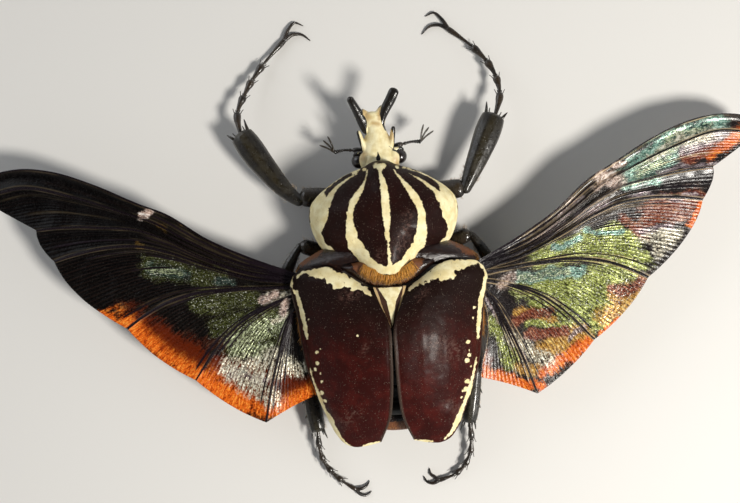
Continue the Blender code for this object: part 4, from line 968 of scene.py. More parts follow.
def make_horn():
    """Two blunt prongs on a short stem, joined by curved webs; the right prong is the stouter."""
    parts = Skin()
    stem_width = profile((0, 2.6), (0.5, 2.5), (1, 2.4))
    stem_height = profile((0, 1.7), (0.5, 1.5), (1, 1.1))
    parts.loft(tube_rings(curve(*HORN_STEM), stem_width, stem_height, 28, 24, 2.4, 0.2))
    for stations in HORN_PRONGS:
        prong = curve(*stations)
        path = lambda t, read=prong: read(t)[:, :3]
        width = lambda t, read=prong: read(t)[:, 3]
        height = profile((0, 1.2), (0.5, 1.15), (0.85, 1.1), (1, 0.8))
        parts.loft(tube_rings(path, width, height, 24, 40, 2.3, 0.09))
    web = profile((0, 0.9), (1, 0.7))
    for root, end in HORN_WEBS:
        middle = (np.array(root) + end) / 2
        parts.loft(tube_rings(curve(root, middle, end), web, web, 16, 12, caps=0.2))
    skin = parts.melted(0.12, 5)
    head_field(skin).piece("forked_horn", FACE, ["horn"], "black_chitin")


def ball(centre, radii, sides=40, count=28):
    """Rings of an egg-shaped body."""
    heights = np.cos(np.linspace(0.02, math.pi - 0.02, count))
    around = np.arange(sides) * 2 * math.pi / sides
    wide = np.sqrt(1 - heights**2)
    rings = np.empty((count, sides, 3))
    rings[..., 0] = centre[0] + radii[0] * wide[:, None] * np.cos(around)
    rings[..., 1] = centre[1] + radii[1] * wide[:, None] * np.sin(around)
    rings[..., 2] = centre[2] + radii[2] * heights[:, None]
    return rings


def make_eye(side):
    """A round black eye at the side of the head."""
    skin = Skin().loft(ball(mirrored(EYE, side), (EYE_RADIUS, EYE_RADIUS, EYE_RADIUS), 56, 40))
    skin.turn(HEAD_TURN, HEAD_PIVOT)
    skin.piece(f"{SIDES[side]}_eye", EYE_BLACK, [f"eye_{SIDES[side]}"], "eye_black")


def make_feeler(side):
    """A thick first joint, a beaded stalk and a club of three leaves."""
    path = curve_on(side, FEELER)
    skin = Skin()
    for start, end, girth in FEELER_JOINTS:
        width = profile((0, 0.72), (0.6, 1.0), (1, 0.8), times=girth)
        skin.loft(tube_rings(stretch(path, start, end), width, width, 18, 14, caps=0.22))
    tip = np.array(FEELER[-1]) - (0.2, 0.2, 0.0)
    for k, (out, ahead) in enumerate(CLUB_LEAVES):
        points = [tip, tip + (0.45 * out, 0.55 * ahead, 0.35 - 0.2 * k), tip + (out, ahead, 0.7 - 0.35 * k)]
        width = profile((0, 0.22), (0.4, 0.25), (0.8, 0.27), (1, 0.18))
        height = profile((0, 0.30), (0.4, 0.60), (0.8, 0.62), (1, 0.40))
        skin.loft(tube_rings(curve_on(side, points), width, height, 18, 26, 2.0, 0.1), crest=0.5)
    skin.turn(HEAD_TURN, HEAD_PIVOT)
    skin.piece(f"{SIDES[side]}_feeler", LEG, [f"antenna_{SIDES[side]}"], "black_chitin")


def make_mouth():
    """The chin plate under the head, with a jointed palp on each side."""
    skin = Skin().loft(trunk_rings(CHIN_STATIONS, 24, 40, 2.4, 2.4))
    jaw_width = profile((0, 0.9), (0.6, 0.6), (1, 0.25))
    jaw_height = profile((0, 0.5), (1, 0.2))
    for side in SIDES:
        path = curve_on(side, PALP)
        for start, end, girth in PALP_JOINTS:
            width = profile((0, 0.7), (0.6, 1.0), (1, 0.6), times=girth)
            skin.loft(tube_rings(stretch(path, start, end), width, width, 18, 16, caps=0.2))
        skin.loft(tube_rings(curve_on(side, JAW), jaw_width, jaw_height, 18, 18))
    skin.turn(HEAD_TURN, HEAD_PIVOT)
    skin.piece("mouth", BELLY, ["mouthparts"], "brown_chitin")


# Wing cases

CASE_SUTURE = curve(
    (5.0, 6.25), (2.7, 1.5), (0.75, -3.0), (0.3, -5.2), (0.25, -11.0), (0.35, -17.0), (0.7, -23.5),
    (1.5, -29.5), (4.6, -37.4),
)
CASE_FRONT = curve(
    (5.0, 6.25), (8.4, 8.3), (11.3, 10.4), (14.6, 12.4), (18.0, 13.2), (22.0, 13.0), (25.0, 12.5),
    (27.0, 11.0),
)
CASE_SIDE = curve(
    (27.0, 11.0), (28.0, 8.4), (27.6, 4.6), (26.5, -1.0), (25.8, -8.0), (25.0, -14.0), (23.3, -20.2),
    (21.2, -26.2), (19.3, -31.0),
)
CASE_REAR = curve((4.6, -37.4), (9.0, -38.3), (12.2, -38.5), (14.8, -37.5), (17.2, -34.9), (19.3, -31.0))
CASE_CREST = profile(
    (0, 22.6), (0.05, 24.9), (0.12, 26.6), (0.25, 27.8), (0.45, 27.2), (0.65, 25.0), (0.82, 21.6),
    (0.93, 18.9), (1, 16.6),
)
CASE_EDGE = profile((0, 16.4), (0.2, 16.1), (0.5, 15.8), (0.8, 15.3), (1, 14.2))
CASE_RIBS = (0.30, 0.56)
SHELL_THICKNESS = 0.9
CASE_STRIPES = {
    RIGHT: [
        [(5.4, 5.3, 0.39), (6.9, 6.9, 0.72), (9.2, 8.1, 1.22), (11.8, 9.1, 1.50), (14.1, 10.0, 2.23),
         (15.7, 9.8, 2.62), (17.2, 11.1, 1.84), (19.5, 11.2, 1.56), (21.7, 11.5, 1.28), (24.0, 11.7, 0.89),
         (25.6, 11.6, 0.72), (26.7, 10.1, 0.61)],
        [(27.2, 10.0, 0.57), (27.6, 7.7, 0.48), (26.9, 5.0, 0.57), (25.9, 2.2, 0.74), (25.2, -0.9, 0.76),
         (24.7, -4.2, 0.68), (24.2, -7.3, 0.59), (23.9, -9.9, 0.34)],
        [(23.1, -15.4, 0.28), (22.5, -17.9, 0.37), (21.6, -21.0, 0.43), (20.7, -24.1, 0.74),
         (19.5, -26.8, 0.68), (18.2, -29.3, 0.68), (17.2, -31.5, 0.97), (15.8, -34.0, 0.80),
         (14.5, -35.9, 0.51), (12.5, -37.7, 0.23)],
        [(3.6, -37.9, 0.51), (5.3, -37.9, 0.63), (7.0, -37.9, 0.51), (9.0, -38.2, 0.26)],
    ],
    LEFT: [
        [(-25.5, 10.9, 0.28), (-24.0, 12.3, 0.45), (-21.7, 12.2, 0.72), (-19.3, 11.7, 1.39),
         (-16.8, 11.5, 1.73), (-15.2, 10.2, 2.00), (-14.2, 9.0, 1.78), (-12.2, 9.5, 1.45),
         (-10.3, 8.3, 1.56), (-8.4, 7.6, 1.00), (-6.6, 6.0, 0.72), (-5.3, 4.7, 0.28)],
        [(-27.2, 11.5, 0.23), (-27.8, 9.3, 0.23), (-26.3, 6.6, 0.51), (-25.6, 4.0, 0.62), (-25.0, 1.1, 0.71),
         (-24.6, -1.8, 0.65), (-24.3, -4.6, 0.54), (-24.1, -6.3, 0.28)],
        [(-24.0, -14.8, 0.20), (-23.3, -18.6, 0.28), (-22.2, -22.1, 0.46), (-21.6, -25.0, 0.68),
         (-20.8, -27.6, 0.80), (-19.4, -30.0, 0.97), (-18.6, -32.3, 0.80), (-17.0, -35.0, 0.51),
         (-15.2, -37.3, 0.34), (-13.0, -38.7, 0.20)],
        [(-11.3, -38.5, 0.34), (-9.3, -38.0, 0.57), (-7.5, -37.7, 0.68), (-6.2, -37.5, 0.40)],
    ],
}
CASE_SPOTS = {
    RIGHT: [(20.8, -10.4, 0.62), (21.0, -12.9, 0.28), (20.9, -14.1, 0.62), (20.2, -15.6, 0.73),
            (21.3, -17.5, 0.28), (19.9, -21.6, 0.68), (19.4, -20.8, 0.34), (19.5, -23.9, 0.79),
            (18.1, -26.0, 0.34), (23.4, -1.0, 0.42), (22.8, -3.8, 0.25), (18.5, -24.2, 0.39)],
    LEFT: [(-21.6, -10.1, 0.48), (-20.4, -9.4, 0.28), (-21.7, -13.3, 0.56), (-22.4, -15.1, 0.51),
           (-20.9, -16.3, 0.28), (-22.5, -16.8, 0.23), (-20.8, -18.5, 0.34), (-21.1, -22.0, 0.62),
           (-20.4, -24.3, 0.45), (-23.2, -0.9, 0.28), (-9.8, -5.9, 0.28)],
}
CASE_WORN = {
    RIGHT: [(11.0, -9.5, 17.5, -12.5, 2.6), (7.5, 3.0, 10.0, 5.0, 0.8), (14.0, -27.0, 17.0, -29.5, 1.4)],
    LEFT: [(-12.5, 4.5, -9.5, 5.6, 1.2), (-12.0, -28.0, -15.5, -30.5, 1.5), (-7.0, -8.0, -8.5, -11.0, 0.7)],
}


def case_plan(s, t):
    """The right wing case from above: s runs from front to rear, t from the suture outwards."""
    corner = lambda a, b: a[None] * b[:, None]
    return (
        CASE_FRONT(t) * (1 - s)[:, None] + CASE_REAR(t) * s[:, None]
        + CASE_SUTURE(s) * (1 - t)[:, None] + CASE_SIDE(s) * t[:, None]
        - corner(CASE_SUTURE(0)[0], (1 - s) * (1 - t)) - corner(CASE_SIDE(0)[0], (1 - s) * t)
        - corner(CASE_SUTURE(1)[0], s * (1 - t)) - corner(CASE_SIDE(1)[0], s * t)
    )


def case_surface(s, t):
    """The right wing case's outer face, with the knobs at its shoulder and near its end."""
    s, t = np.meshgrid(s, t, indexing="ij")
    shape = s.shape
    s, t = s.ravel(), t.ravel()
    crest, edge = CASE_CREST(s), CASE_EDGE(s)
    height = crest - (crest - edge) * t**2.8
    height += 0.8 * np.exp(-(((s - 0.07) / 0.06) ** 2) - ((t - 0.78) / 0.14) ** 2)
    height += 0.9 * np.exp(-(((s - 0.84) / 0.06) ** 2) - ((t - 0.6) / 0.16) ** 2)
    return np.column_stack([case_plan(s, t), height]).reshape(*shape, 3)


def surface_normals(grid):
    """Unit normals of a grid of points, pointing up."""
    normals = unit(np.cross(np.gradient(grid, axis=0), np.gradient(grid, axis=1)))
    return normals * np.where(normals[:, :, 2:] < 0, -1.0, 1.0)


def make_wing_case(side):
    """A thin domed shell, open below, with a bead along its edges and two faint ribs."""
    s, t = even(190), even(128)
    upper = case_surface(s, t)
    inward = surface_normals(upper)
    inward[:, 0] = (0.0, 0.0, 1.0)
    lower = upper - inward * SHELL_THICKNESS
    suture = 24.0 * t[None, :]
    margin = 26.0 * (1 - t)[None, :]
    ends = 50.0 * np.minimum(s, 1 - s)[:, None]
    seam = ease(s, 0.2, 0.35)[:, None]
    relief = 0.12 * seam * (bell(suture - 0.40, 0.30) - 0.8 * bell(suture - 1.0, 0.35))
    relief = relief + 0.16 * (bell(margin - 0.7, 0.4) - 0.8 * bell(margin - 1.6, 0.5))
    for rib in CASE_RIBS:
        relief = relief + 0.06 * bell(t[None, :] - rib, 0.03) * np.sin(math.pi * s)[:, None] ** 2
    relief = relief + 0.07 * ripple(upper[..., 0], upper[..., 1], 8.0, 11 + side)
    near = np.minimum(np.minimum(suture, margin), ends)
    relief = relief - 0.30 * (1 - np.sqrt(1 - (1 - np.clip(near / 0.45, 0, 1)) ** 2))
    upper[..., 2] += relief
    upper = turned(mirrored(upper, side), CASES_TURN, CASES_PIVOT)
    lower = turned(mirrored(lower, side), CASES_TURN, CASES_PIVOT)
    cream = inside_marks(upper, CASE_STRIPES[side], CASE_SPOTS[side])
    frayed = 0.10 + 0.50 * ease(upper[..., 1], 4.5, 8.0)
    cream = cream + frayed * ripple(upper[..., 0], upper[..., 1], 2.4, 9)
    hidden = np.full(cream.shape, FAR_OUTSIDE)
    rim = np.maximum(seam * ease(-suture, -1.0, -0.5), ease(-margin, -0.5, -0.25)) * np.ones(cream.shape)
    skin = Skin().sheet(
        upper, lower, rear=0.05 + 0.95 * ease(s, 0.05, 0.75)[:, None] * np.ones(cream.shape), rim=rim,
        worn=soft_patches(upper[..., 0], upper[..., 1], CASE_WORN[side]),
    )
    skin.fields["cream"] = np.concatenate([cream.ravel(), hidden.ravel()])
    skin.fields["under"] = np.repeat([0.0, 1.0], cream.size)
    skin.piece(f"{SIDES[side]}_wing_case", SHELL, [f"elytron_{SIDES[side]}"], "maroon_velvet")


CASE_SAMPLES = case_surface(np.linspace(0, 1, 50), np.linspace(0, 1, 50)).reshape(-1, 3)


def under_cases(points, gap=1.5):
    """The points, kept below the wing cases that cover them."""
    points = np.array(points, float)
    flat = points.reshape(-1, 3)
    across = np.abs(flat[:, None, 0]) - CASE_SAMPLES[None, :, 0]
    along = flat[:, None, 1] - CASE_SAMPLES[None, :, 1]
    away = np.hypot(across, along)
    ceiling = CASE_SAMPLES[away.argmin(axis=1), 2] - gap
    behind = flat[:, 1] < 14.0
    flat[:, 2] = np.where(behind, np.minimum(flat[:, 2], ceiling), flat[:, 2])
    return flat.reshape(points.shape)


# Plates between the cases, and the trunk

SCUTELLUM_FRONT, SCUTELLUM_TIP = 6.75, -4.9
SCUTELLUM_HALF_WIDTH = 4.6
WEDGE_CREAM = [(-3.3, 6.6), (3.5, 6.4), (1.45, 2.6), (0.0, -4.3), (-1.1, 2.8)]
WEDGE_TAN = [
    [(-4.6, 6.6, 0.7), (-3.7, 5.0, 0.42), (-2.9, 2.5, 0.22), (-1.8, -1.0, 0.2), (-0.5, -4.4, 0.2)],
    [(4.5, 6.5, 0.7), (3.7, 4.6, 0.36), (2.8, 2.5, 0.2), (1.7, -0.8, 0.16), (0.3, -4.6, 0.18)],
]


def inside_polygon(x, y, corners):
    """Depth inside a polygon."""
    corners = np.array(corners, float)
    inside = np.zeros(np.shape(x), bool)
    nearest = np.full(np.shape(x), 99.0)
    for (x0, y0), (x1, y1) in zip(corners, np.roll(corners, -1, axis=0)):
        nearest = np.minimum(nearest, away_from_line(x, y, x0, y0, x1, y1))
        crosses = (y0 > y) != (y1 > y)
        side = x < (x1 - x0) * (y - y0) / (y1 - y0 if y1 != y0 else 1e-9) + x0
        inside ^= crosses & side
    return np.where(inside, nearest, -nearest)


def make_scutellum():
    """The pale wedge that fills the angle between the wing cases."""
    share = np.linspace(0, 1, 70)
    y = SCUTELLUM_FRONT + (SCUTELLUM_TIP - SCUTELLUM_FRONT) * share
    half = SCUTELLUM_HALF_WIDTH * (1 - share) ** 0.92 + 0.28 * share
    top = 23.9 + 3.0 * np.clip(share * 0.93, 0, 1) ** 0.6
    across = np.concatenate([[-1.0], np.sin(np.linspace(-math.pi / 2, math.pi / 2, 45)), [1.0]])
    crown = 1 - across**2
    drop = np.ones(len(across))
    drop[[0, -1]] = 0
    rings = np.empty((len(share), len(across), 3))
    rings[..., 0] = half[:, None] * across
    rings[..., 1] = y[:, None]
    rings[..., 2] = np.where(drop[None] > 0, top[:, None] - 0.55 + 0.5 * crown, 22.0)
    rings = turned(rings, CASES_TURN, CASES_PIVOT)
    x, y = rings[..., 0], rings[..., 1]
    cream = inside_polygon(x, y, WEDGE_CREAM)
    tan = inside_marks(rings, WEDGE_TAN)
    skin = Skin().loft(rings, cream=cream, tan=tan)
    skin.piece("pale_wedge", WEDGE, ["scutellum"], "cream_scale")


MESOSCUTUM_PLAN = ((0.0, 14.5), (9.0, 14.2), (13.6, 12.9), (10.8, 10.5), (8.1, 8.5), (5.0, 7.1), (0.0, 6.9))


def crescent(x):
    """How far the golden fringe reaches behind the shield's rear edge."""
    return 3.7 * np.sqrt(np.clip(1 - (x / 10.0) ** 2, 0, 1))


def make_mesoscutum():
    """The velvety plate between the shield's rear edge and the scutellum."""
    right = curve(*MESOSCUTUM_PLAN)(np.linspace(0, 1, 61))
    plan = np.concatenate([right, right[-2:0:-1] * (-1, 1)])
    middle = np.array([0.0, 10.8])
    share = np.linspace(0, 1, 24)[1:, None]
    place = middle + (plan - middle)[None] * share[..., None]
    x, y = place[..., 0], place[..., 1]
    z = 23.9 - 0.06 * np.abs(x) - 3.2 * share**10 - 0.08 * (y - 7)
    skirt = np.column_stack([plan, np.full(len(plan), 19.0)])
    rings = np.concatenate([np.stack([x, y, z], axis=-1), [skirt]])
    x, y = rings[..., 0], rings[..., 1]
    reach = crescent(x)
    behind = 9.9 + 0.037 * x * x - y
    glow = ease(reach - behind, -0.3, 0.5) * (0.9 - 0.5 * np.clip(behind / 3.5, 0, 1))
    Skin().dome(rings, (*middle, 23.9), glow=glow).piece("collar_plate", RUST, ["mesoscutum"], "rust_velvet")


MESOTHORAX_STATIONS = [
    (20.5, 11.0, 12.8, 18.5, 6.0), (18.6, 17.6, 12.9, 20.4, 5.2), (16.6, 22.0, 12.7, 21.4, 4.6),
    (14.6, 25.2, 12.2, 21.6, 3.8), (13.1, 26.2, 11.8, 21.2, 3.2), (11.6, 26.2, 11.6, 20.9, 2.9),
]
METATHORAX_STATIONS = [
    (12.7, 26.0, 11.4, 20.6, 2.6), (10.5, 26.7, 11.0, 21.8, 1.0), (7.5, 27.0, 10.8, 22.9, -0.2),
    (3.0, 27.1, 10.6, 23.8, -0.5), (-2.0, 27.1, 10.6, 24.2, -0.5), (-5.5, 26.9, 10.8, 24.1, 0.2),
    (-8.0, 26.4, 11.2, 23.8, 1.6), (-9.4, 26.0, 11.2, 23.4, 3.0),
]
SHOULDER_GLOW = [(19.5, 18.6, 23.8, 15.4, 1.6), (-19.5, 18.0, -24.0, 15.4, 1.2)]
KEEL_STATIONS = [
    (10.0, 3.6, 1.7, 2.6, 0.7), (12.4, 3.2, 1.6, 2.7, 0.6), (14.4, 2.7, 2.1, 3.1, 1.1),
    (16.6, 2.0, 2.8, 3.8, 1.9), (18.0, 1.1, 3.3, 4.0, 2.7),
]
ABDOMEN_START, ABDOMEN_END = -8.4, -30.4
ABDOMEN_WIDTH = profile((-30.4, 12.0), (-27.5, 14.8), (-23, 18.4), (-18, 21.3), (-13, 24.0), (-8.4, 25.9))
ABDOMEN_TOP = profile((-30.4, 14.4), (-27.5, 15.8), (-23, 18.0), (-18, 20.6), (-13, 22.6), (-8.4, 23.6))
ABDOMEN_BOTTOM = profile((-30.4, 6.6), (-27.5, 5.9), (-23, 5.2), (-18, 4.8), (-13, 4.7), (-8.4, 4.7))
ABDOMEN_LEVEL = 11.2
SEGMENTS = 5
TAIL_STATIONS = [
    # how far behind the abdomen, half width, widest level, top, bottom
    (0.0, 11.4, 10.6, 14.0, 6.8), (1.2, 11.0, 10.6, 13.9, 6.9), (2.4, 9.8, 10.5, 13.4, 7.2),
    (3.5, 7.6, 10.4, 12.6, 7.9), (4.3, 4.8, 10.3, 11.7, 8.8), (4.7, 2.4, 10.2, 10.9, 9.6),
]


def side_glow(rings, low, high):
    """Rust velvet along the upper flanks."""
    return ease(rings[..., 2], low, high) * ease(np.abs(rings[..., 0]), 12, 20)


def make_metathorax():
    """The rear thorax with its breastplate, furrowed down the middle."""
    rings = under_cases(trunk_rings(METATHORAX_STATIONS, 90, 168, 2.2, 2.5))
    x, y, z = rings[..., 0], rings[..., 1], rings[..., 2]
    low = ease(10.0 - z, 0.0, 3.0)
    rings[..., 2] += low * 0.55 * bell(x, 0.5) * ease(-np.abs(y + 1), -9.0, -7.0)
    seam = np.abs(x) - (15.0 + 0.30 * (y + 8))
    rings[..., 2] += low * 0.5 * bell(seam, 0.4)
    rings[..., 2] += low * 0.45 * bell(y + 5.2 + 0.05 * np.abs(x), 0.35) * ease(np.abs(x), 0.5, 3.0)
    rings = above_floor(rings)
    skin = Skin().loft(rings, velvet=0.8 * side_glow(rings, 7.0, 12.0))
    skin.loft(above_floor(trunk_rings(KEEL_STATIONS, 30, 32, 2.2, 2.2)))
    skin.piece("rear_thorax", BELLY, ["metathorax"], "brown_chitin")


def make_mesothorax():
    """The middle thorax, with rust velvet on its shoulders."""
    rings = under_cases(trunk_rings(MESOTHORAX_STATIONS, 40, 140, 2.3, 2.4))
    glow = soft_patches(rings[..., 0], rings[..., 1], SHOULDER_GLOW)
    skin = Skin().loft(rings, glow=glow * ease(rings[..., 2], 8, 13))
    skin.piece("middle_thorax", RUST, ["mesothorax"], "rust_velvet")


def make_abdomen():
    """Five plates, each swelling and overlapping the next."""
    places = np.linspace(ABDOMEN_START + 0.4, ABDOMEN_END - 0.4, 150)
    share = (ABDOMEN_START - places) / (ABDOMEN_START - ABDOMEN_END) * SEGMENTS
    step = share - np.floor(share)
    dip = 0.55 * ease(0.16 - step, 0.0, 0.16) + 0.25 * ease(step, 0.9, 1.0)
    stations = np.column_stack([
        places, ABDOMEN_WIDTH(places) - dip, np.full(len(places), ABDOMEN_LEVEL), ABDOMEN_TOP(places) - dip,
        ABDOMEN_BOTTOM(places) + dip,
    ])
    rings = under_cases(trunk_rings(stations.tolist(), 150, 150, 2.2, 2.4))
    # the back between the cases is sunk and marked for painted shade
    back = ease(rings[..., 2], 15.0, 17.0) * ease(-np.abs(rings[..., 0]), -12.0, -8.0)
    rings[..., 2] -= 2.0 * back * bell(rings[..., 0], 5.0)
    Skin().loft(rings, velvet=side_glow(rings, 8.0, 12.5), shade=back).piece(
        "ringed_abdomen", ABDOMEN, ["abdomen"], "black_chitin"
    )


def make_pygidium():
    """The blunt plate that closes the tail."""
    start = ABDOMEN_END - 0.1
    stations = [(start - back, *rest) for back, *rest in TAIL_STATIONS]
    rings = trunk_rings(stations, 44, 96, 2.2, 2.2)
    glow = ease(-rings[..., 1], 31.8, 32.8) * ease(rings[..., 2], 8.0, 10.0)
    Skin().loft(rings, glow=glow).piece("tail_plate", RUST, ["pygidium"], "rust_velvet")


# Hind wings

WING_ROOT = (27.0, 12.0)
WING_LEVEL = 13.3
WING_SWEEP = {RIGHT: 0.0, LEFT: math.radians(-4.0)}
WING_SPREAD = {RIGHT: 1.0, LEFT: 1.045}  # the left wing is unfolded further
WING_TIP_LIFT = {RIGHT: 0.0, LEFT: 2.8}  # how much further forward its tip reaches
VEINS = [
    # the main veins of the right wing, seen from above, from its front edge to the rear
    curve((26.0, 12.0), (38.3, 18.3), (48.7, 24.7), (59.4, 33.4), (66.0, 36.9), (77.2, 43.0), (89.0, 47.6),
          (98.0, 48.9), (105.0, 48.0), (110.0, 45.2)),
    curve((26.0, 11.1), (42.0, 17.2), (55.0, 25.4), (63.0, 31.2), (72.0, 35.4), (85.0, 40.6), (97.0, 43.9),
          (108.8, 42.6)),
    curve((26.0, 10.2), (40.0, 14.6), (52.0, 20.8), (60.0, 26.2), (67.2, 29.8), (76.4, 31.8), (88.0, 33.5),
          (95.0, 33.8)),
    curve((26.0, 9.3), (37.9, 12.2), (49.7, 17.4), (60.0, 22.6), (67.4, 25.3), (76.0, 26.2), (87.3, 25.3),
          (91.2, 24.6)),
    curve((26.0, 8.2), (35.0, 9.3), (43.4, 10.2), (54.8, 10.4), (63.3, 8.7), (70.0, 5.8), (73.9, 3.6)),
    curve((26.0, 6.6), (35.0, 4.3), (44.1, 0.2), (50.8, -5.4), (57.5, -13.0)),
    curve((26.2, 4.4), (29.4, 0.6), (33.6, -8.4), (37.1, -17.3), (40.2, -27.3)),
    curve((26.2, 0.8), (27.2, -3.5), (27.0, -8.5), (26.0, -13.5), (24.9, -17.5), (24.2, -21.4)),
]
VEIN_GIRTHS = (0.62, 0.50, 0.55, 0.55, 0.55, 0.38, 0.45, 0.35)
PANELS = [
    # columns between two veins, the margin's bulge, and the finer veins as (share, start, end, girth)
    (14, 0.6, ((0.5, 0.0, 0.50, 0.35),)),
    (34, 1.0, ((0.16, 0.55, 0.97, 0.22), (0.5, 0.0, 0.50, 0.50), (0.62, 0.62, 0.95, 0.26))),
    (26, 1.6, ((0.35, 0.02, 0.62, 0.42), (0.62, 0.40, 0.98, 0.22))),
    (56, 3.2, ((0.10, 0.45, 0.90, 0.24), (0.17, 0.10, 0.66, 0.42), (0.40, 0.55, 0.80, 0.20),
               (0.90, 0.30, 0.98, 0.26))),
    (48, 1.6, ((0.07, 0.15, 0.75, 0.26), (0.93, 0.25, 0.97, 0.24))),
    (46, 1.2, ((0.06, 0.10, 0.80, 0.20), (0.14, 0.15, 0.70, 0.18), (0.88, 0.10, 0.90, 0.24))),
    (36, -0.4, ((0.10, 0.05, 0.95, 0.28), (0.20, 0.05, 0.80, 0.24), (0.30, 0.10, 0.90, 0.20))),
]
STIFF_PANELS = 3  # the front panels, which are hardly pleated
PLEAT_WIDTH = 1.25
WING_COUNT = 210
VEIN_RISE = 0.35
MARK_SWAY = 0.8  # how far the edges of the coloured patches stray
PANEL_SAG = 0.9
WING_MARKS = {
    RIGHT: {
        "green": [
            (43.7, 11.2, 55.4, 13.2, 2.7), (55.4, 13.2, 69.0, 13.7, 3.4), (60.0, 10.0, 71.4, 8.2, 2.7),
            (38.3, 2.9, 54.7, 3.2, 2.7), (54.6, 1.7, 66.2, 2.8, 4.1), (44.7, -1.9, 60.9, -4.0, 3.6),
            (60.6, -7.9, 54.8, -8.4, 2.5), (29.4, -6.1, 33.4, -17.5, 2.0), (46.8, 13.9, 65.4, 17.8, 2.0),
            (39.9, -7.6, 50.0, -8.0, 1.1),
        ],
        "teal": [
            (47.8, 14.0, 55.6, 15.9, 1.0), (57.7, 18.3, 66.3, 17.0, 0.8), (73.4, 34.5, 83.5, 41.5, 3.8),
            (83.5, 41.5, 97.8, 46.0, 2.7), (35.6, 5.8, 55.0, 6.9, 1.5), (68.3, 30.6, 78.9, 31.2, 1.4),
        ],
        # painted glitter highlights, green-white and white; some of the white also marks the pale stigma
        "pearl": [
            (37.6, 6.0, 51.1, 7.0, 1.0), (73.8, 33.6, 85.4, 41.4, 1.8), (83.6, 42.5, 95.3, 45.0, 1.5),
        ],
        "frost": [
            (66.5, 33.1, 68.5, 31.5, 0.9), (74.8, 14.5, 81.6, 14.7, 1.9), (77.5, 11.6, 82.6, 15.1, 1.8),
            (33.5, -10.2, 43.5, -18.2, 1.6), (85.4, 41.4, 95.2, 43.5, 1.7), (77.5, 37.6, 83.5, 41.0, 0.9),
        ],
        "lilac": [
            (55.1, 21.9, 64.0, 25.1, 1.0), (41.1, 14.3, 55.5, 26.7, 1.1), (79.1, 34.1, 98.4, 34.2, 0.6),
            (87.2, 38.8, 99.1, 44.2, 1.5), (70.9, 26.5, 90.0, 25.1, 0.7), (28.4, -0.2, 36.9, -16.3, 0.7),
            (50.7, -12.0, 54.2, -9.8, 0.9), (73.1, 17.2, 81.8, 17.5, 1.0),
        ],
        # the ember margin: partly the membrane's red-brown, partly painted light shining through it
        "ember": [
            (95.0, 37.1, 102.9, 42.7, 1.6), (87.0, 17.2, 91.1, 24.1, 0.8), (59.4, -11.8, 70.5, -4.8, 0.7),
            (42.8, -21.0, 55.4, -14.0, 1.7), (26.0, -20.8, 40.6, -25.2, 1.7),
            (25.4, -14.5, 26.5, -20.3, 1.4),
        ],
        "gold": [
            (64.0, -1.9, 70.8, -0.4, 1.9), (35.9, -3.5, 46.3, -5.9, 1.3), (60.7, -6.9, 67.1, -5.0, 2.3),
            (43.2, -15.3, 54.1, -10.8, 2.3), (35.7, -19.1, 41.9, -20.5, 1.4),
        ],
        "rust": [
            (76.3, 21.8, 88.9, 23.3, 3.2), (88.0, 36.7, 94.4, 38.8, 1.7), (64.2, 1.0, 72.9, 1.8, 1.6),
            (68.5, 20.9, 73.9, 15.7, 1.5), (34.7, -6.0, 45.5, -3.4, 1.4), (40.1, -11.2, 48.9, -9.6, 1.5),
        ],
        "smoke": [
            (68.2, 29.1, 96.3, 31.2, 1.6), (65.8, 23.1, 72.5, 22.6, 1.6), (67.3, 17.6, 73.6, 11.4, 1.1),
            (29.3, 12.2, 53.3, 24.0, 2.0), (69.8, 11.7, 73.4, 8.0, 1.4), (28.7, 3.6, 33.1, -2.5, 1.6),
        ],
    },
    LEFT: {
        "green": [
            (-67.7, 17.2, -48.7, 11.9, 2.6), (-54.7, 5.7, -40.3, 5.8, 2.4), (-49.7, -1.3, -34.1, 0.3, 2.9),
            (-45.8, -9.3, -34.5, -5.2, 2.6),
        ],
        "teal": [
            (-67.1, 17.1, -57.4, 13.7, 1.6), (-48.8, 10.8, -44.4, 9.9, 1.0),
        ],
        # painted glitter highlights, green-white and white; some of the white also marks the pale stigma
        "pearl": [
            (-45.6, -6.6, -32.0, -1.5, 2.2), (-45.8, -8.8, -35.9, -9.5, 1.7),
            (-67.7, 17.2, -58.5, 14.3, 0.8),
        ],
        "frost": [
            (-34.2, -1.3, -29.1, -0.3, 0.9), (-46.2, -13.8, -35.2, -14.6, 2.9),
            (-34.9, -10.7, -28.0, -15.1, 2.1), (-43.2, -18.4, -35.8, -23.3, 2.4),
            (-34.7, 5.9, -29.2, 6.4, 0.9),
        ],
        "lilac": [
            (-46.2, -14.8, -38.7, -18.1, 1.6),
        ],
        # the ember margin: partly the membrane's red-brown, partly painted light shining through it
        "ember": [
            (-50.6, -13.4, -30.9, -17.6, 3.4), (-82.2, 4.3, -74.1, -2.3, 1.4),
            (-74.4, 0.5, -58.1, -10.6, 4.2), (-59.4, -13.9, -47.9, -21.9, 4.2),
            (-47.9, -21.9, -31.5, -24.8, 4.2), (-31.4, -24.2, -25.1, -20.3, 2.9),
        ],
        "gold": [
            (-64.8, 33.6, -57.4, 28.6, 0.4), (-64.1, 28.4, -62.4, 27.2, 0.8),
            (-70.4, 24.0, -69.1, 22.8, 0.7), (-59.3, -11.7, -50.5, -12.9, 1.6),
        ],
        "rust": [
            (-77.0, 3.5, -58.9, -6.7, 3.4), (-58.9, -6.7, -41.2, -6.0, 1.7),
            (-57.1, -11.8, -50.3, -17.3, 2.6), (-33.1, -17.5, -27.3, -20.3, 2.4),
        ],
        # painted shade: smoke darkens the left wing's outer part
        "smoke": [
            (-108.5, 41.8, -76.6, 23.4, 10.5), (-76.6, 23.4, -57.9, 7.6, 4.7),
        ],
    },
}
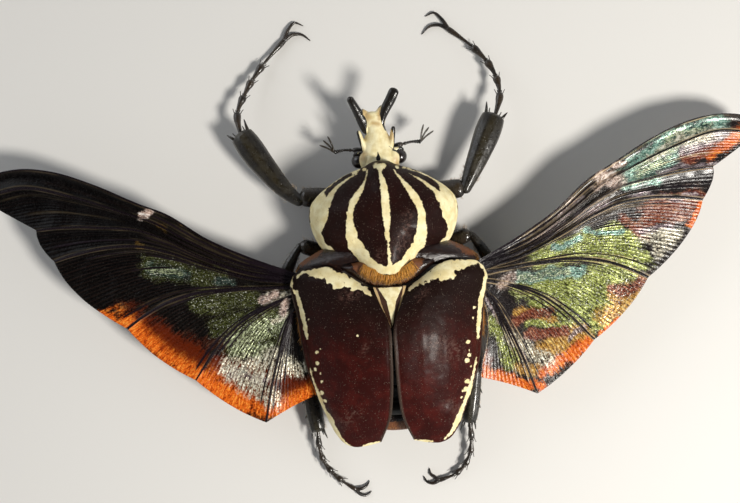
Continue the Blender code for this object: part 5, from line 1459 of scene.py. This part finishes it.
WING_CRUMPLES = {
    # soft patches where the membrane is crumpled small: at the root's plates and at the joint; their bright
    # paint is a painted highlight
    RIGHT: [(32.0, 4.6, 35.5, 6.4, 1.3), (62.6, 33.6, 67.0, 31.4, 1.9), (60.6, 29.8, 62.4, 31.2, 0.8),
            (66.6, 36.2, 69.4, 36.6, 0.8)],
    LEFT: [(-36.4, 5.0, -32.5, 6.5, 1.0), (-31.0, 1.0, -29.5, 4.5, 0.9), (-69.0, 31.5, -66.5, 32.6, 0.9)],
}
WING_PAINTS = {
    # the left wing's paint is the right wing's dimmed: darker ground, colours at 0.14, less piping and
    # gloss, a painted shade over the whole wing
    RIGHT: wing_paint("wing_right", (0.010, 0.007, 0.007), (0.060, 0.042, 0.034), 1.0, 1.0, 0.40),
    LEFT: wing_paint("wing_left", (0.0022, 0.0016, 0.0014), (0.006, 0.005, 0.004), 0.14, 0.12, 0.10),
}


def wing_level(plan):
    """Height of the wing's middle surface: a low arch that comes down again at the tip."""
    away = np.linalg.norm(plan - WING_ROOT, axis=-1)
    behind = np.clip(WING_ROOT[1] - plan[..., 1], 0, None)
    return WING_LEVEL + 2.6 * np.sin(np.clip(away / 92, 0, 1) * math.pi) - 0.02 * away - 0.05 * behind


def vein_relief(away, girth):
    """(rise, darkness, pale piping) across a vein, at a distance from its middle."""
    round_top = np.sqrt(np.clip(1 - (away / girth) ** 2, 0, 1))
    return round_top, ease(-away, -1.05 * girth, -0.75 * girth), bell(away - 1.35 * girth, 0.32 * girth)


def wing_columns():
    """Each column of the right wing: its plan points, sag, relief and the values painted by the material."""
    r = np.linspace(0, 1, WING_COUNT)
    columns = []
    for k, (first, second, (count, bulge, finer)) in enumerate(zip(VEINS, VEINS[1:], PANELS)):
        a, b = first(r), second(r)
        apart = np.linalg.norm(b - a, axis=1)
        out = unit((a[-1] + b[-1]) / 2 - WING_ROOT)
        places = np.linspace(0, 1, count + 1)
        shares = places - 0.75 * np.sin(2 * math.pi * places) / (2 * math.pi)
        if k < len(PANELS) - 1:
            shares = shares[:-1]
        for share in shares:
            swell = bulge * 4 * share * (1 - share) * r**5
            plan = a + (b - a) * share + swell[:, None] * out
            fade = (1.25 - 0.75 * r) * ease(1.02 - r, 0.0, 0.08)
            rise, dark, pale = np.zeros((3, WING_COUNT))
            for place, girth in ((0.0, VEIN_GIRTHS[k]), (1.0, VEIN_GIRTHS[k + 1])):
                found = vein_relief(abs(share - place) * apart, girth * (1.25 - 0.6 * r))
                rise = np.maximum(rise, found[0] * VEIN_RISE * fade)
                dark, pale = np.maximum(dark, found[1]), np.maximum(pale, found[2])
            for place, start, end, girth in finer:
                here = ease(r, start - 0.02, start + 0.06) * ease(-r, -end - 0.02, -end + 0.06)
                found = vein_relief(abs(share - place) * apart, girth * (1.2 - 0.5 * r))
                rise = np.maximum(rise, 0.75 * found[0] * VEIN_RISE * fade * here)
                dark, pale = np.maximum(dark, found[1] * here), np.maximum(pale, 0.7 * found[2] * here)
            sag = PANEL_SAG * 4 * share * (1 - share) * np.clip(r * 5, 0, 1)
            pleats = round(max(2.0, apart[-1] / PLEAT_WIDTH))
            strength = ease(r, 0.06, 0.30) * (1.0 if k >= STIFF_PANELS else 0.35)
            fan = np.full(WING_COUNT, k * 20 + share * pleats)
            columns.append((plan, sag, rise, dark, pale, fan, strength))
    return [np.stack(values, axis=1) for values in zip(*columns)]


def make_wing(side):
    """A veined, pleated sheet that starts at the rear thorax, under the edge of the wing case."""
    plan, sag, rise, dark, pale, fan, pleat = wing_columns()
    r = np.linspace(0, 1, WING_COUNT)[:, None]
    spread = WING_ROOT + (plan - WING_ROOT) * WING_SPREAD[side]
    front = ease(-np.arange(plan.shape[1]), -50, 0)
    spread[..., 1] += WING_TIP_LIFT[side] * ease(r, 0.45, 1.0) * front
    placed = turned(spread, WING_SWEEP[side], WING_ROOT) * (side, 1.0)
    x, y = placed[..., 0], placed[..., 1]
    crumple = soft_patches(x, y, WING_CRUMPLES[side])
    level = wing_level(plan) - sag + 0.03 * pleat * np.sin(2 * math.pi * fan)
    level = level + 0.16 * ripple(x, y, 11.0, 21) * ease(r, 0.1, 0.4)
    level = level + 0.55 * crumple * (ripple(x, y, 1.9, 5) + 0.5 * ripple(x, y, 0.9, 6))
    width = np.cumsum(np.linalg.norm(np.diff(plan, axis=1, prepend=plan[:, :1]), axis=2), axis=1)
    half = 0.12 + 0.40 * np.exp(-r * 14) + 0.15 * bell(width, 0.9)
    upper = np.stack([x, y, level + half + rise], axis=-1)
    lower = np.stack([x, y, level - half - 0.4 * rise], axis=-1)
    inner = bell(width[:, -1:] - width, 1.2) * ease(r, 0.5, 0.8)
    rear = ease(np.arange(x.shape[1]), 150.0, 200.0)
    hem = np.maximum(ease(r, 0.80 - 0.15 * rear, 0.98 - 0.02 * rear), inner)
    ragged_x = x + MARK_SWAY * (ripple(x, y, 9.0, 31) + 0.5 * ripple(x, y, 3.5, 32))
    ragged_y = y + MARK_SWAY * (ripple(x, y, 9.0, 33) + 0.5 * ripple(x, y, 3.5, 34))
    marks = WING_MARKS[side].items()
    fields = {name: soft_patches(ragged_x, ragged_y, patches) for name, patches in marks}
    # the crumples carry a painted highlight, under which the veins fade
    fields.update(folded=crumple, vein=dark * (1 - 0.85 * crumple), piping=pale)
    fields.update(fan=fan, along=r * np.ones(x.shape), pleat=pleat, hem=hem)
    skin = Skin().sheet(upper, lower, **fields)
    skin.piece(f"{SIDES[side]}_wing", WING_PAINTS[side], [f"wing_{SIDES[side]}"], "wing_membrane")


# Legs

FORE_HIP = ((3.4, 28.4, 5.4), (6.4, 29.2, 5.0), (9.4, 30.4, 4.8))
HIND_HIP = ((2.2, -9.6, 4.4), (8.0, -9.9, 3.9), (14.0, -10.6, 4.0))
LEGS = {
    # hip, thigh and shin lines, then the joints of the foot and the lines of its two claws
    ("fore", RIGHT): dict(
        hip=FORE_HIP,
        thigh=((7.4, 30.4, 4.6), (13.5, 32.2, 6.6), (19.5, 33.0, 8.6), (24.4, 33.2, 9.6)),
        shin=((23.6, 31.6, 9.6), (25.2, 35.0, 9.8), (29.6, 44.0, 9.6), (34.4, 54.2, 8.8)),
        foot=((34.2, 52.6, 8.6), (36.6, 60.4, 6.4), (36.0, 65.4, 5.0), (33.8, 70.4, 3.6), (30.0, 75.2, 2.2),
              (22.9, 81.7, 0.8)),
        claws=(((21.6, 84.4, 0.9), (19.4, 86.4, 0.6), (16.8, 85.5, 0.3)),
               ((20.6, 82.6, 0.9), (17.9, 82.4, 0.6), (15.4, 80.2, 0.3))),
    ),
    ("fore", LEFT): dict(
        hip=FORE_HIP,
        thigh=((7.4, 30.4, 4.6), (13.5, 32.4, 6.6), (19.5, 33.6, 8.6), (24.2, 33.8, 9.6)),
        shin=((22.8, 32.0, 9.6), (26.4, 34.8, 9.8), (33.4, 43.6, 9.6), (40.0, 54.0, 8.8)),
        foot=((39.6, 52.6, 8.6), (40.4, 60.2, 6.4), (38.4, 65.0, 5.0), (35.8, 69.6, 3.6), (32.4, 74.2, 2.2),
              (25.3, 81.6, 0.8)),
        claws=(((24.2, 84.4, 0.9), (22.2, 86.4, 0.6), (19.6, 85.4, 0.3)),
               ((23.0, 82.8, 0.9), (20.4, 82.8, 0.6), (17.8, 80.8, 0.3))),
    ),
    ("mid", RIGHT): dict(
        hip=((4.4, 12.0, 4.2), (7.0, 12.6, 3.7), (9.8, 13.6, 3.5)),
        thigh=((8.0, 13.0, 2.9), (14.0, 15.6, 3.9), (20.0, 18.2, 6.0), (25.3, 20.2, 7.8)),
        shin=((24.4, 20.6, 7.8), (27.4, 16.2, 7.8), (31.6, 8.0, 6.8), (35.0, -1.0, 5.6)),
        foot=((34.4, 0.4, 5.4), (37.4, -5.4, 4.4), (40.0, -9.4, 3.4), (42.2, -13.0, 2.4), (43.6, -16.6, 1.6),
              (43.0, -22.6, 0.8)),
        claws=(((43.8, -24.4, 0.9), (43.4, -26.2, 0.6), (41.6, -27.4, 0.3)),
               ((41.8, -24.2, 0.9), (40.2, -25.2, 0.6), (38.4, -25.2, 0.3))),
    ),
    ("hind", RIGHT): dict(
        hip=HIND_HIP,
        thigh=((8.8, -10.4, 2.5), (14.0, -11.2, 2.7), (20.0, -11.8, 3.6), (25.0, -12.0, 4.8)),
        shin=((25.2, -10.6, 4.8), (24.7, -14.6, 4.9), (22.8, -25.0, 4.7), (20.7, -35.8, 4.2)),
        foot=((20.9, -34.4, 4.2), (21.2, -40.6, 3.4), (20.6, -44.8, 2.7), (18.8, -48.4, 2.0),
              (15.8, -51.0, 1.4), (10.6, -52.8, 0.8)),
        claws=(((8.9, -53.4, 0.9), (7.3, -52.9, 0.6), (6.4, -51.2, 0.3)),
               ((9.6, -51.6, 0.9), (8.5, -50.6, 0.6), (8.3, -49.0, 0.3))),
    ),
    ("hind", LEFT): dict(
        hip=HIND_HIP,
        thigh=((8.8, -10.4, 2.5), (14.0, -11.0, 2.7), (20.0, -11.4, 3.6), (26.0, -11.6, 4.8)),
        shin=((26.4, -10.2, 4.8), (26.2, -14.2, 4.9), (25.2, -24.4, 4.7), (23.7, -35.2, 4.2)),
        foot=((23.8, -33.8, 4.2), (23.8, -39.8, 3.4), (22.9, -44.0, 2.7), (20.8, -47.6, 2.0),
              (18.0, -50.6, 1.4), (13.8, -53.8, 0.8)),
        claws=(((12.6, -55.2, 0.9), (11.0, -55.6, 0.6), (9.4, -54.6, 0.3)),
               ((12.2, -53.4, 0.9), (10.8, -52.8, 0.6), (9.8, -51.4, 0.3))),
    ),
}
LEGS["mid", LEFT] = LEGS["mid", RIGHT]
LEG_NAMES = ("fore", "mid", "hind")
LEG_GIRTH = {"fore": 1.0, "mid": 0.82, "hind": 0.92}
SHIN_GIRTH = {"fore": 1.0, "mid": 0.62, "hind": 0.66}
FOOT_GIRTH = {"fore": 1.0, "mid": 0.85, "hind": 0.85}
SHIN_TEETH = ((0.38, 0.9), (0.58, 1.2), (0.76, 1.0))  # place along the shin, reach
FOOT_BRISTLES = ((1, 1.5), (-1, 1.5), (0.45, 1.2), (-0.45, 1.2))  # share of the half width, reach


def spine(start, tip, radius, bow=0.12):
    """Rings of a short tapered spine."""
    start, tip = np.array(start, float), np.array(tip, float)
    lift = np.array((0.0, 0.0, bow * np.linalg.norm(tip - start)))
    taper = profile((0, radius), (0.5, 0.65 * radius), (1, 0.12))
    path = curve(start, (start + tip) / 2 + lift, tip)
    return above_floor(tube_rings(path, taper, taper, 10, 12, caps=0.06))


def make_thigh(leg, side):
    """The hip and the thigh, with a painted sheen along its rear edge."""
    parts = LEGS[leg, side]
    girth = LEG_GIRTH[leg]
    skin = Skin()
    width = profile((0, 1.7), (0.35, 3.1), (0.75, 2.8), (0.93, 2.4), (1, 1.5), times=girth)
    height = profile((0, 1.5), (0.35, 2.1), (0.75, 2.1), (0.93, 1.9), (1, 1.1), times=girth)
    rings = tube_rings(curve_on(side, parts["thigh"]), width, height, 48, 60, 2.2, 0.08)
    # painted sheen in a line along the thigh
    keel_sheen = 0.4 * bell(np.arange(48) - 12, 5.0)
    skin.loft(above_floor(rings), crest=keel_sheen[None])
    width = profile((0, 1.9), (0.3, 2.9), (0.75, 2.6), (1, 1.5), times=girth)
    height = profile((0, 1.7), (0.3, 2.5), (0.75, 2.2), (1, 1.3), times=girth)
    hip = curve_on(side, parts["hip"])
    skin.loft(above_floor(tube_rings(hip, width, height, 40, 36, 2.0, 0.2)))
    skin.piece(f"{SIDES[side]}_{leg}_thigh", LEG, [f"{leg}_femur_{SIDES[side]}"], "black_chitin")


def leg_frame(leg, side):
    """The shin's end, and its directions ahead, across and up."""
    line = mirrored(LEGS[leg, side]["shin"], side)
    ahead = unit(line[-1] - line[-2])
    across = sideways(ahead)
    return line, ahead, across, np.cross(across, ahead)


def make_shin(leg, side):
    """The ridged shin, with teeth along its outer edge and spurs round its far end."""
    girth = SHIN_GIRTH[leg]
    line, ahead, across, up = leg_frame(leg, side)
    path = curve(*line)
    width = profile((0, 1.4), (0.12, 1.9), (0.45, 3.0), (0.93, 3.35), (1, 3.0), times=girth)
    height = profile((0, 1.3), (0.45, 1.9), (0.93, 1.95), (1, 1.6), times=girth)
    ridges = lambda angle: 1 + 0.014 * np.cos(10 * angle) + 0.02 * np.cos(4 * angle)
    rings = tube_rings(path, width, height, 80, 90, 2.3, 0.05, ridges)
    angle = np.arctan2(*section(80, 2.3).T[::-1])
    crest = ease(np.cos(4 * angle), 0.0, 1.0)[None] * ease(even(90), 0.1, 0.4)[:, None] * 0.5
    skin = Skin().loft(above_floor(rings), crest=crest)
    outer = 1 if np.dot(across, (side, 0, 0)) > 0 else -1
    end = line[-1]
    for out in (1, -1):
        reach = 2.4 if out == -outer else 1.6
        start = end - ahead * 1.4 + across * out * 2.2 * girth
        tip = end + ahead * reach + across * out * 3.4 * girth
        skin.loft(spine(start, tip, 0.62 * max(girth, 0.75)))
    for share in (0.0, 0.5, -0.5):
        start = end - ahead * 0.8 + across * share * 3.0 * girth - up * 1.2 * girth
        skin.loft(spine(start, start + ahead * 2.2 + across * share * 0.6 - up * 0.3, 0.30))
    if leg != "fore":
        for place, reach in SHIN_TEETH:
            base = path(place)[0] + across * outer * width(place)[0] * 0.85
            skin.loft(spine(base, base + ahead * reach * 1.3 + across * outer * reach * 0.8, 0.34))
    skin.piece(f"{SIDES[side]}_{leg}_shin", SHIN, [f"{leg}_tibia_{SIDES[side]}"], "brown_chitin")


def make_foot(leg, side):
    """Four flared joints with bristles at their ends, a longer last joint and two hooked claws."""
    parts = LEGS[leg, side]
    girth = FOOT_GIRTH[leg]
    joints = mirrored(parts["foot"], side)
    whole = curve(*joints)
    lengths = np.linalg.norm(np.diff(joints, axis=0), axis=1)
    knots = np.concatenate([[0.0], np.cumsum(lengths)]) / lengths.sum()
    skin = Skin()
    for k, (start, end) in enumerate(zip(knots, knots[1:])):
        last = k == len(lengths) - 1
        path = stretch(whole, start - 0.004, end + 0.006)
        thick = (0.85 if last else 1.0) * girth
        width = profile((0, 0.50), (0.12, 0.52), (0.5, 0.80), (0.86, 1.12), (1, 0.85), times=thick)
        if last:
            width = profile((0, 0.46), (0.4, 0.60), (0.85, 0.95), (1, 0.8), times=thick)
        height = lambda at, wide=width: 0.88 * wide(at)
        skin.loft(above_floor(tube_rings(path, width, height, 24, 34, 2.1, 0.10)), crest=0.15)
        tip, back = whole(end)[0], whole(end - 0.02)[0]
        ahead = unit(tip - back)
        across = sideways(ahead)
        if not last:
            for out, reach in FOOT_BRISTLES:
                base = tip - ahead * 0.35 + across * out * 0.85 * thick - (0.0, 0.0, 0.25)
                skin.loft(spine(base, base + ahead * reach + across * out * 0.7 - (0.0, 0.0, 0.25), 0.17))
    root = joints[-1] + (joints[-2] - joints[-1]) * 0.08
    taper = profile((0, 0.62), (0.35, 0.52), (0.8, 0.30), (1, 0.12))
    for claw in parts["claws"]:
        hook = curve(root, *mirrored(claw, side))
        skin.loft(above_floor(tube_rings(hook, taper, taper, 16, 34, caps=0.04)))
    skin.piece(f"{SIDES[side]}_{leg}_foot", LEG, [f"{leg}_tarsus_{SIDES[side]}"], "black_chitin")


# Hair


LEG_HAIR_LENGTH = {"fore": 1.3, "mid": 1.6, "hind": 1.7}
COLLAR_ROWS = ((1.5, 0.85, 0.85), (1.1, 0.72, 0.7), (0.6, 0.60, 0.6))  # inset, share of the length, tone
COLLAR_START = 0.865  # where the fringe starts along half the shield's rim
COLLAR_COUNT = 520
TAIL_COUNT = 500


def leg_spot(leg, side, along, around):
    """A root's place on the unwrapped leg: each leg has a tile of its own."""
    tile = LEG_NAMES.index(leg) * 2 + (side == LEFT)
    along, around = np.broadcast_arrays(along, around)
    return np.column_stack([(tile % 3 + 0.05 + 0.9 * along) / 3, (tile // 3 + 0.05 + 0.9 * around) / 2])


def make_collar_hair():
    """The golden fringe that stands out from under the shield's rear edge."""
    hair = Hair(31)
    chance = hair.chance
    rim = curve(*SHIELD_RIM)
    for row, (inset, share_length, tone) in enumerate(COLLAR_ROWS):
        share = chance.uniform(COLLAR_START, 1.0, COLLAR_COUNT)
        side = chance.choice((1.0, -1.0), COLLAR_COUNT)
        flip = np.column_stack([side, np.ones(COLLAR_COUNT)])
        place = rim(share)
        out = unit(place - SHIELD_CENTRE)
        place = (place - out * (inset - 0.4)) * flip
        x = np.abs(place[:, 0])
        z = 24.3 - 0.4 * row - 0.10 * np.clip(x - 5, 0, 9) * 1.6
        roots = np.column_stack([place, z])
        lies = np.column_stack([out * flip, np.full(COLLAR_COUNT, -0.10)])
        scatter = chance.uniform(0, 0.2, COLLAR_COUNT)
        spots = np.column_stack([0.5 + 3.3 * (share - COLLAR_START) * side, 0.1 + 0.3 * row + scatter])
        length = share_length * (1.1 + crescent(x))
        tone = tone - 0.25 * ease(x, 4, 10) + chance.normal(0, 0.22, COLLAR_COUNT)
        hair.grow(roots, lies, length, 0.12, spots, 0.10, 0.12, tone)
    return hair.piece("collar_hair", GOLD_HAIR, "rust_velvet")


def make_leg_hair():
    """Fringes along the thighs and shins."""
    hair = Hair(43)
    chance = hair.chance
    for (leg, side), parts in LEGS.items():
        shin_count = 600 if leg == "hind" else 170
        for part, girths, count in (("thigh", LEG_GIRTH, 130), ("shin", SHIN_GIRTH, shin_count)):
            line = mirrored(parts[part], side)
            path = curve(*line)
            along = chance.uniform(0.15, 0.95, count)
            roots = path(along)
            ahead = unit(path(along + 0.02) - path(along - 0.02))
            across = sideways(ahead)
            up = np.cross(across, ahead)
            inner = -1.0 if np.dot(across[0], (side, 0, 0)) > 0 else 1.0
            edge = np.where(chance.uniform(0, 1, count) < 0.8, inner, -inner)
            tilt = chance.normal(-0.35, 0.35, count)
            reach = (2.75 if part == "thigh" else 2.6) * girths[leg]
            roots = roots + across * (edge * reach * np.cos(tilt) * 0.93)[:, None]
            roots = roots + up * (np.sin(tilt) * 1.5 * girths[leg])[:, None]
            lies = across * edge[:, None] + ahead * 0.9 + up * (np.sin(tilt) * 0.5)[:, None]
            roots = above_floor(roots, 0.35)
            spots = leg_spot(leg, side, along, 0.5 + tilt / 6)
            hair.grow(roots, lies, LEG_HAIR_LENGTH[leg], 0.05, spots, 0.0, 0.2)
    return hair.piece("leg_hair", PALE_HAIR, "rust_velvet")


def trunk_spot(roots):
    """A root's place on the trunk's unwrap: the angle round the body, and the way along it."""
    angle = np.arctan2(roots[:, 0], roots[:, 2] - 11.0) / (2 * math.pi) + 0.5
    return np.column_stack([angle * 0.95, 0.02 + 0.9 * (roots[:, 1] + 40) / 90])


def make_body_hair():
    """Short hair along the flanks, the breast and the tail."""
    hair = Hair(57)
    chance = hair.chance
    for stations, count, top, bottom, wanted in (
        (METATHORAX_STATIONS, 90, 2.2, 2.5, 1300), (MESOTHORAX_STATIONS, 60, 2.3, 2.4, 700),
    ):
        rings = under_cases(trunk_rings(stations, count, 96, top, bottom))
        points = rings.reshape(-1, 3)
        picked = points[chance.integers(0, len(points), wanted * 4)]
        flank = (np.abs(picked[:, 0]) > 17) & (picked[:, 2] < 15.5) & (picked[:, 2] > 1.2)
        picked = picked[flank][:wanted]
        outward = np.column_stack([picked[:, 0] * 0.9, np.zeros(len(picked)), (picked[:, 2] - 11) * 1.6])
        lies = unit(outward) * 0.5 + (0.0, -1.0, -0.05)
        hair.grow(picked, lies, 1.5, 0.05, trunk_spot(picked), 0.0, 0.25)
    angle = chance.uniform(0, 2 * math.pi, TAIL_COUNT)
    back = chance.uniform(0.2, 3.6, TAIL_COUNT)
    half = profile(*[station[:2] for station in TAIL_STATIONS])(back)
    level = 10.5 + np.sin(angle) * 2.9 * half / 11.4
    roots = np.column_stack([np.cos(angle) * half * 0.97, ABDOMEN_END - back, level])
    lies = np.column_stack([np.cos(angle) * 0.5, np.full(TAIL_COUNT, -1.0), np.sin(angle) * 0.4])
    hair.grow(roots, lies, 1.3, 0.05, trunk_spot(roots), 0.05, 0.25)
    return hair.piece("body_hair", GOLD_HAIR, "rust_velvet")


# Studio

CAMERA_PLACE = (-4.67, 16.77, 320.0)
CAMERA_RIGHT = (0.9973, -0.0732, 0.0)
CAMERA_LENS = 52.1
CAMERA_NEAR = 0.005  # metres
FLOOR_SIDE = 6.0  # metres
FLOOR_GREYS = ((0.70, 0.69, 0.67), (0.74, 0.73, 0.71))
LIT_PLACE = (0.0, 0.0, 0.01)
LIGHTS = (
    # name, place and width in metres, power in watts, colour
    ("key", (0.34, -0.22, 0.50), 0.14, 4.6, (1.0, 0.96, 0.89)),
    ("fill", (-0.60, 0.50, 0.45), 0.60, 1.4, (0.93, 0.96, 1.0)),
)
SKY_COLOUR = (0.96, 0.98, 1.0, 1.0)
SKY_LEVELS = {"From Min": 0.25, "From Max": 0.95, "To Min": 0.55, "To Max": 0.06}


def make_light(name, place, width, power, colour):
    """A round soft light turned to the middle of the beetle."""
    lamp = bpy.data.lights.new(name, "AREA")
    lamp.shape = "DISK"
    lamp.size = width
    lamp.energy = power
    lamp.color = colour
    obj = bpy.data.objects.new(name, lamp)
    obj.location = place
    obj.rotation_euler = (Vector(LIT_PLACE) - Vector(place)).to_track_quat("-Z", "Y").to_euler()
    bpy.context.scene.collection.objects.link(obj)


def make_sky():
    """Pale light from all sides that darkens overhead, so that glossy black keeps its depth."""
    world = bpy.data.worlds.new("studio")
    world.use_nodes = True
    tree = world.node_tree
    background = tree.nodes["Background"]
    background.inputs["Color"].default_value = SKY_COLOUR
    place = tree.nodes.new("ShaderNodeTexCoord")
    split = tree.nodes.new("ShaderNodeSeparateXYZ")
    level = tree.nodes.new("ShaderNodeMapRange")
    level.interpolation_type = "SMOOTHSTEP"
    for name, value in SKY_LEVELS.items():
        level.inputs[name].default_value = value
    tree.links.new(place.outputs["Generated"], split.inputs[0])
    tree.links.new(split.outputs["Z"], level.inputs["Value"])
    tree.links.new(level.outputs[0], background.inputs["Strength"])
    bpy.context.scene.world = world
    bpy.context.scene.view_settings.view_transform = "Standard"


def make_studio():
    """A plain pale floor under soft light, and the camera straight above the beetle."""
    mesh = bpy.data.meshes.new("floor")
    half = FLOOR_SIDE / 2
    corners = [(-half, -half, 0), (half, -half, 0), (half, half, 0), (-half, half, 0)]
    mesh.from_pydata(corners, [], [(0, 1, 2, 3)])
    floor = bpy.data.objects.new("floor", mesh)
    bpy.context.scene.collection.objects.link(floor)
    paint = Paint("floor")
    mesh.materials.append(paint.finish(paint.blend(paint.noise(900.0, 2.0), *FLOOR_GREYS), 0.8))
    make_sky()
    for light in LIGHTS:
        make_light(*light)
    camera = bpy.data.objects.new("camera", bpy.data.cameras.new("camera"))
    camera.data.lens = CAMERA_LENS
    camera.data.clip_start = CAMERA_NEAR
    right = Vector(CAMERA_RIGHT).normalized()
    back = Vector((0.0, 0.0, 1.0))
    turn = Matrix((right, back.cross(right), back)).transposed()
    camera.matrix_world = Matrix.Translation(Vector(CAMERA_PLACE) * UNIT) @ turn.to_4x4()
    bpy.context.scene.collection.objects.link(camera)
    bpy.context.scene.camera = camera


make_studio()
make_shield()
make_head()
make_horn()
make_mouth()
make_scutellum()
make_mesoscutum()
make_mesothorax()
make_metathorax()
make_abdomen()
make_pygidium()
for side in SIDES:
    make_eye(side)
    make_feeler(side)
    make_wing_case(side)
    make_wing(side)
    for leg in LEG_NAMES:
        make_thigh(leg, side)
        make_shin(leg, side)
        make_foot(leg, side)
make_collar_hair()
make_leg_hair()
make_body_hair()
